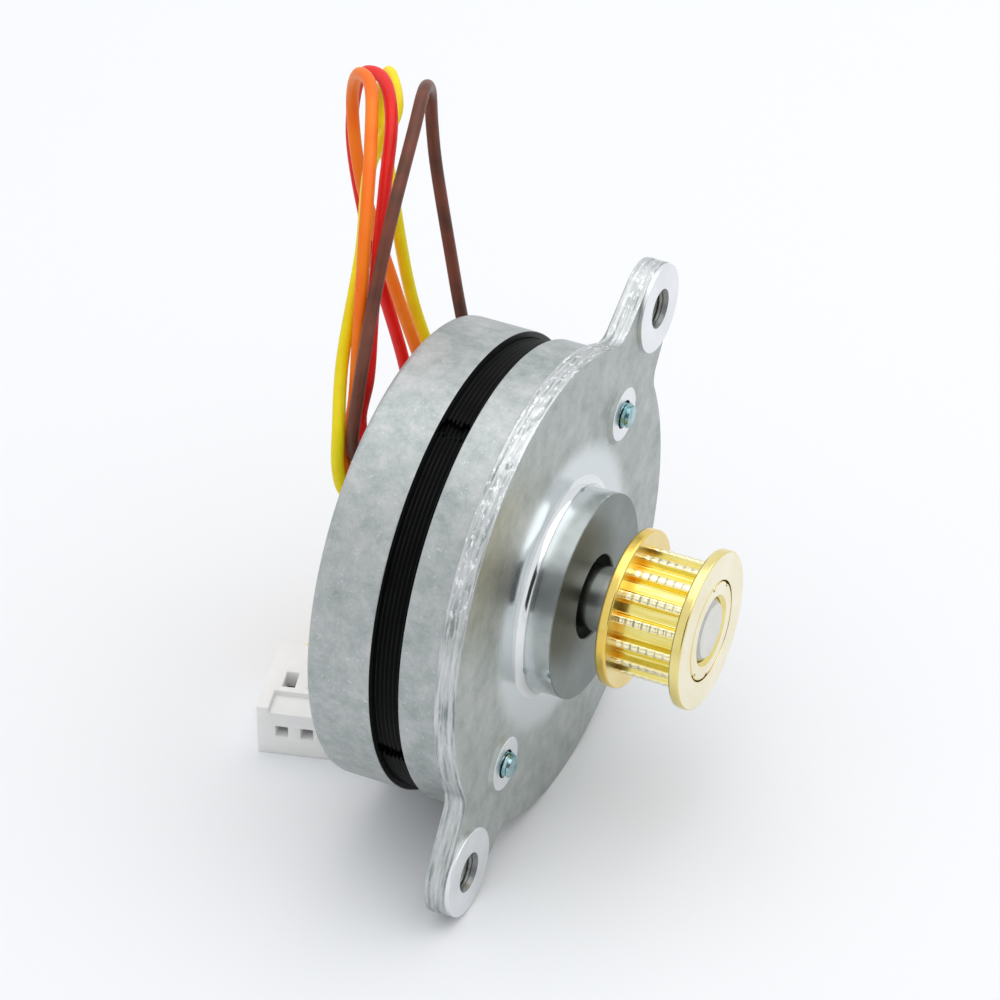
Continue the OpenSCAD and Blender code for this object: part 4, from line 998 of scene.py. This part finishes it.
# Studio: pale floor and background, and one wide soft lamp overhead. The bare metal also mirrors a
# dark card that stands behind the camera, which no camera sees and which takes no light away.
studio = {
    "background": "F9FBFE", "horizonLevel": 0.16, "zenithLevel": 1.1, "floorGlow": 0.05,
    "floorMirror": 0.03, "floorColour": "F1F3F6", "floorSize": (6, 6),
    "lampPlace": (0.06, 0.08, 0.42), "lampSize": 0.55, "lampPower": 0.95,
    "cardPlace": (0.2, -0.45, 0.27), "cardSize": (0.36, 0.46), "cardColour": "34373A",
}

world = bpy.data.worlds.new("studio")
scene.world = world
world.use_nodes = True
world.node_tree.nodes.clear()
add = partial(addNode, world.node_tree)
rays = add("LightPath")
seen = add("Math", {"operation": "MAXIMUM"}, {0: (rays, "Is Camera Ray"), 1: (rays, "Is Glossy Ray")})
seenThrough = add("Math", {"operation": "MAXIMUM"}, {0: seen, 1: (rays, "Is Transmission Ray")})
sky = add("TexCoord")
upwards = add("SeparateXYZ", None, {"Vector": (sky, "Generated")})
level = add("MapRange", {"To Min": studio["horizonLevel"], "To Max": studio["zenithLevel"]},
            {"Value": (upwards, "Z")})
light = add("Background", {"Color": (1, 1, 1, 1)}, {"Strength": level})
backdrop = add("Background", {"Color": linear(studio["background"]), "Strength": 1.0})
mix = add("MixShader", None, {0: seenThrough, 1: light, 2: backdrop})
add("OutputWorld", None, {"Surface": mix})

# Painted floor: it glows in the background's colour where it is seen, and keeps a soft shadow
floorMaterial, add = newMaterial("pale painted floor")
rays = add("LightPath")
mirrored = add("Math", {"operation": "MAXIMUM"},
               {0: (rays, "Is Glossy Ray"), 1: (rays, "Is Transmission Ray")})
faint = add("Math", {"operation": "MULTIPLY", 1: studio["floorMirror"]}, {0: mirrored})
share = add("Math", {"operation": "MULTIPLY_ADD", 1: studio["floorGlow"]},
            {0: (rays, "Is Camera Ray"), 2: faint})
matt = add("BsdfDiffuse", {"Color": linear(studio["floorColour"])})
glow = add("Emission", {"Color": linear(studio["background"]), "Strength": 1.0})
mix = add("MixShader", None, {0: share, 1: matt, 2: glow})
add("OutputMaterial", None, {"Surface": mix})

cardMaterial, add = newMaterial("dark card")
matt = add("BsdfDiffuse", {"Color": linear(studio["cardColour"])})
add("OutputMaterial", None, {"Surface": matt})


# Axes of something that faces the object from a place: its right, its up and its back
def facingAxes(place):
    back = np.array(place) / np.linalg.norm(place)
    right = np.cross((0, 0, 1), back)
    right = right / np.linalg.norm(right)
    return right, np.cross(back, right), back


def flatPanel(name, place, right, up, size, material):
    corners = [np.array(place) + a * size[0] / 2 * np.array(right) + b * size[1] / 2 * np.array(up)
               for a, b in ((-1, -1), (1, -1), (1, 1), (-1, 1))]
    mesh = bpy.data.meshes.new(name)
    mesh.from_pydata([corner.tolist() for corner in corners], [], [(0, 1, 2, 3)])
    mesh.materials.append(material)
    panel = newObject(name, mesh)
    return panel


# The floor lies under the part's lowest point
flatPanel("floor", (0, 0, cadBox[0].z), (1, 0, 0), (0, 1, 0), studio["floorSize"], floorMaterial)
right, up, back = facingAxes(studio["cardPlace"])
card = flatPanel("darkCard", studio["cardPlace"], right, up, studio["cardSize"], cardMaterial)
card.visible_camera = card.visible_diffuse = card.visible_shadow = False

lamp = newObject("overheadLamp", bpy.data.lights.new("overheadLamp", "AREA"))
lamp.data.shape = "SQUARE"
lamp.data.size = studio["lampSize"]
lamp.data.energy = studio["lampPower"]
lampMatrix = np.eye(4)
lampMatrix[:3, :3] = np.transpose(facingAxes(studio["lampPlace"]))
lampMatrix[:3, 3] = studio["lampPlace"]
lamp.matrix_world = Matrix(lampMatrix.tolist())
scene.view_settings.view_transform = "Standard"
print("studio lit")
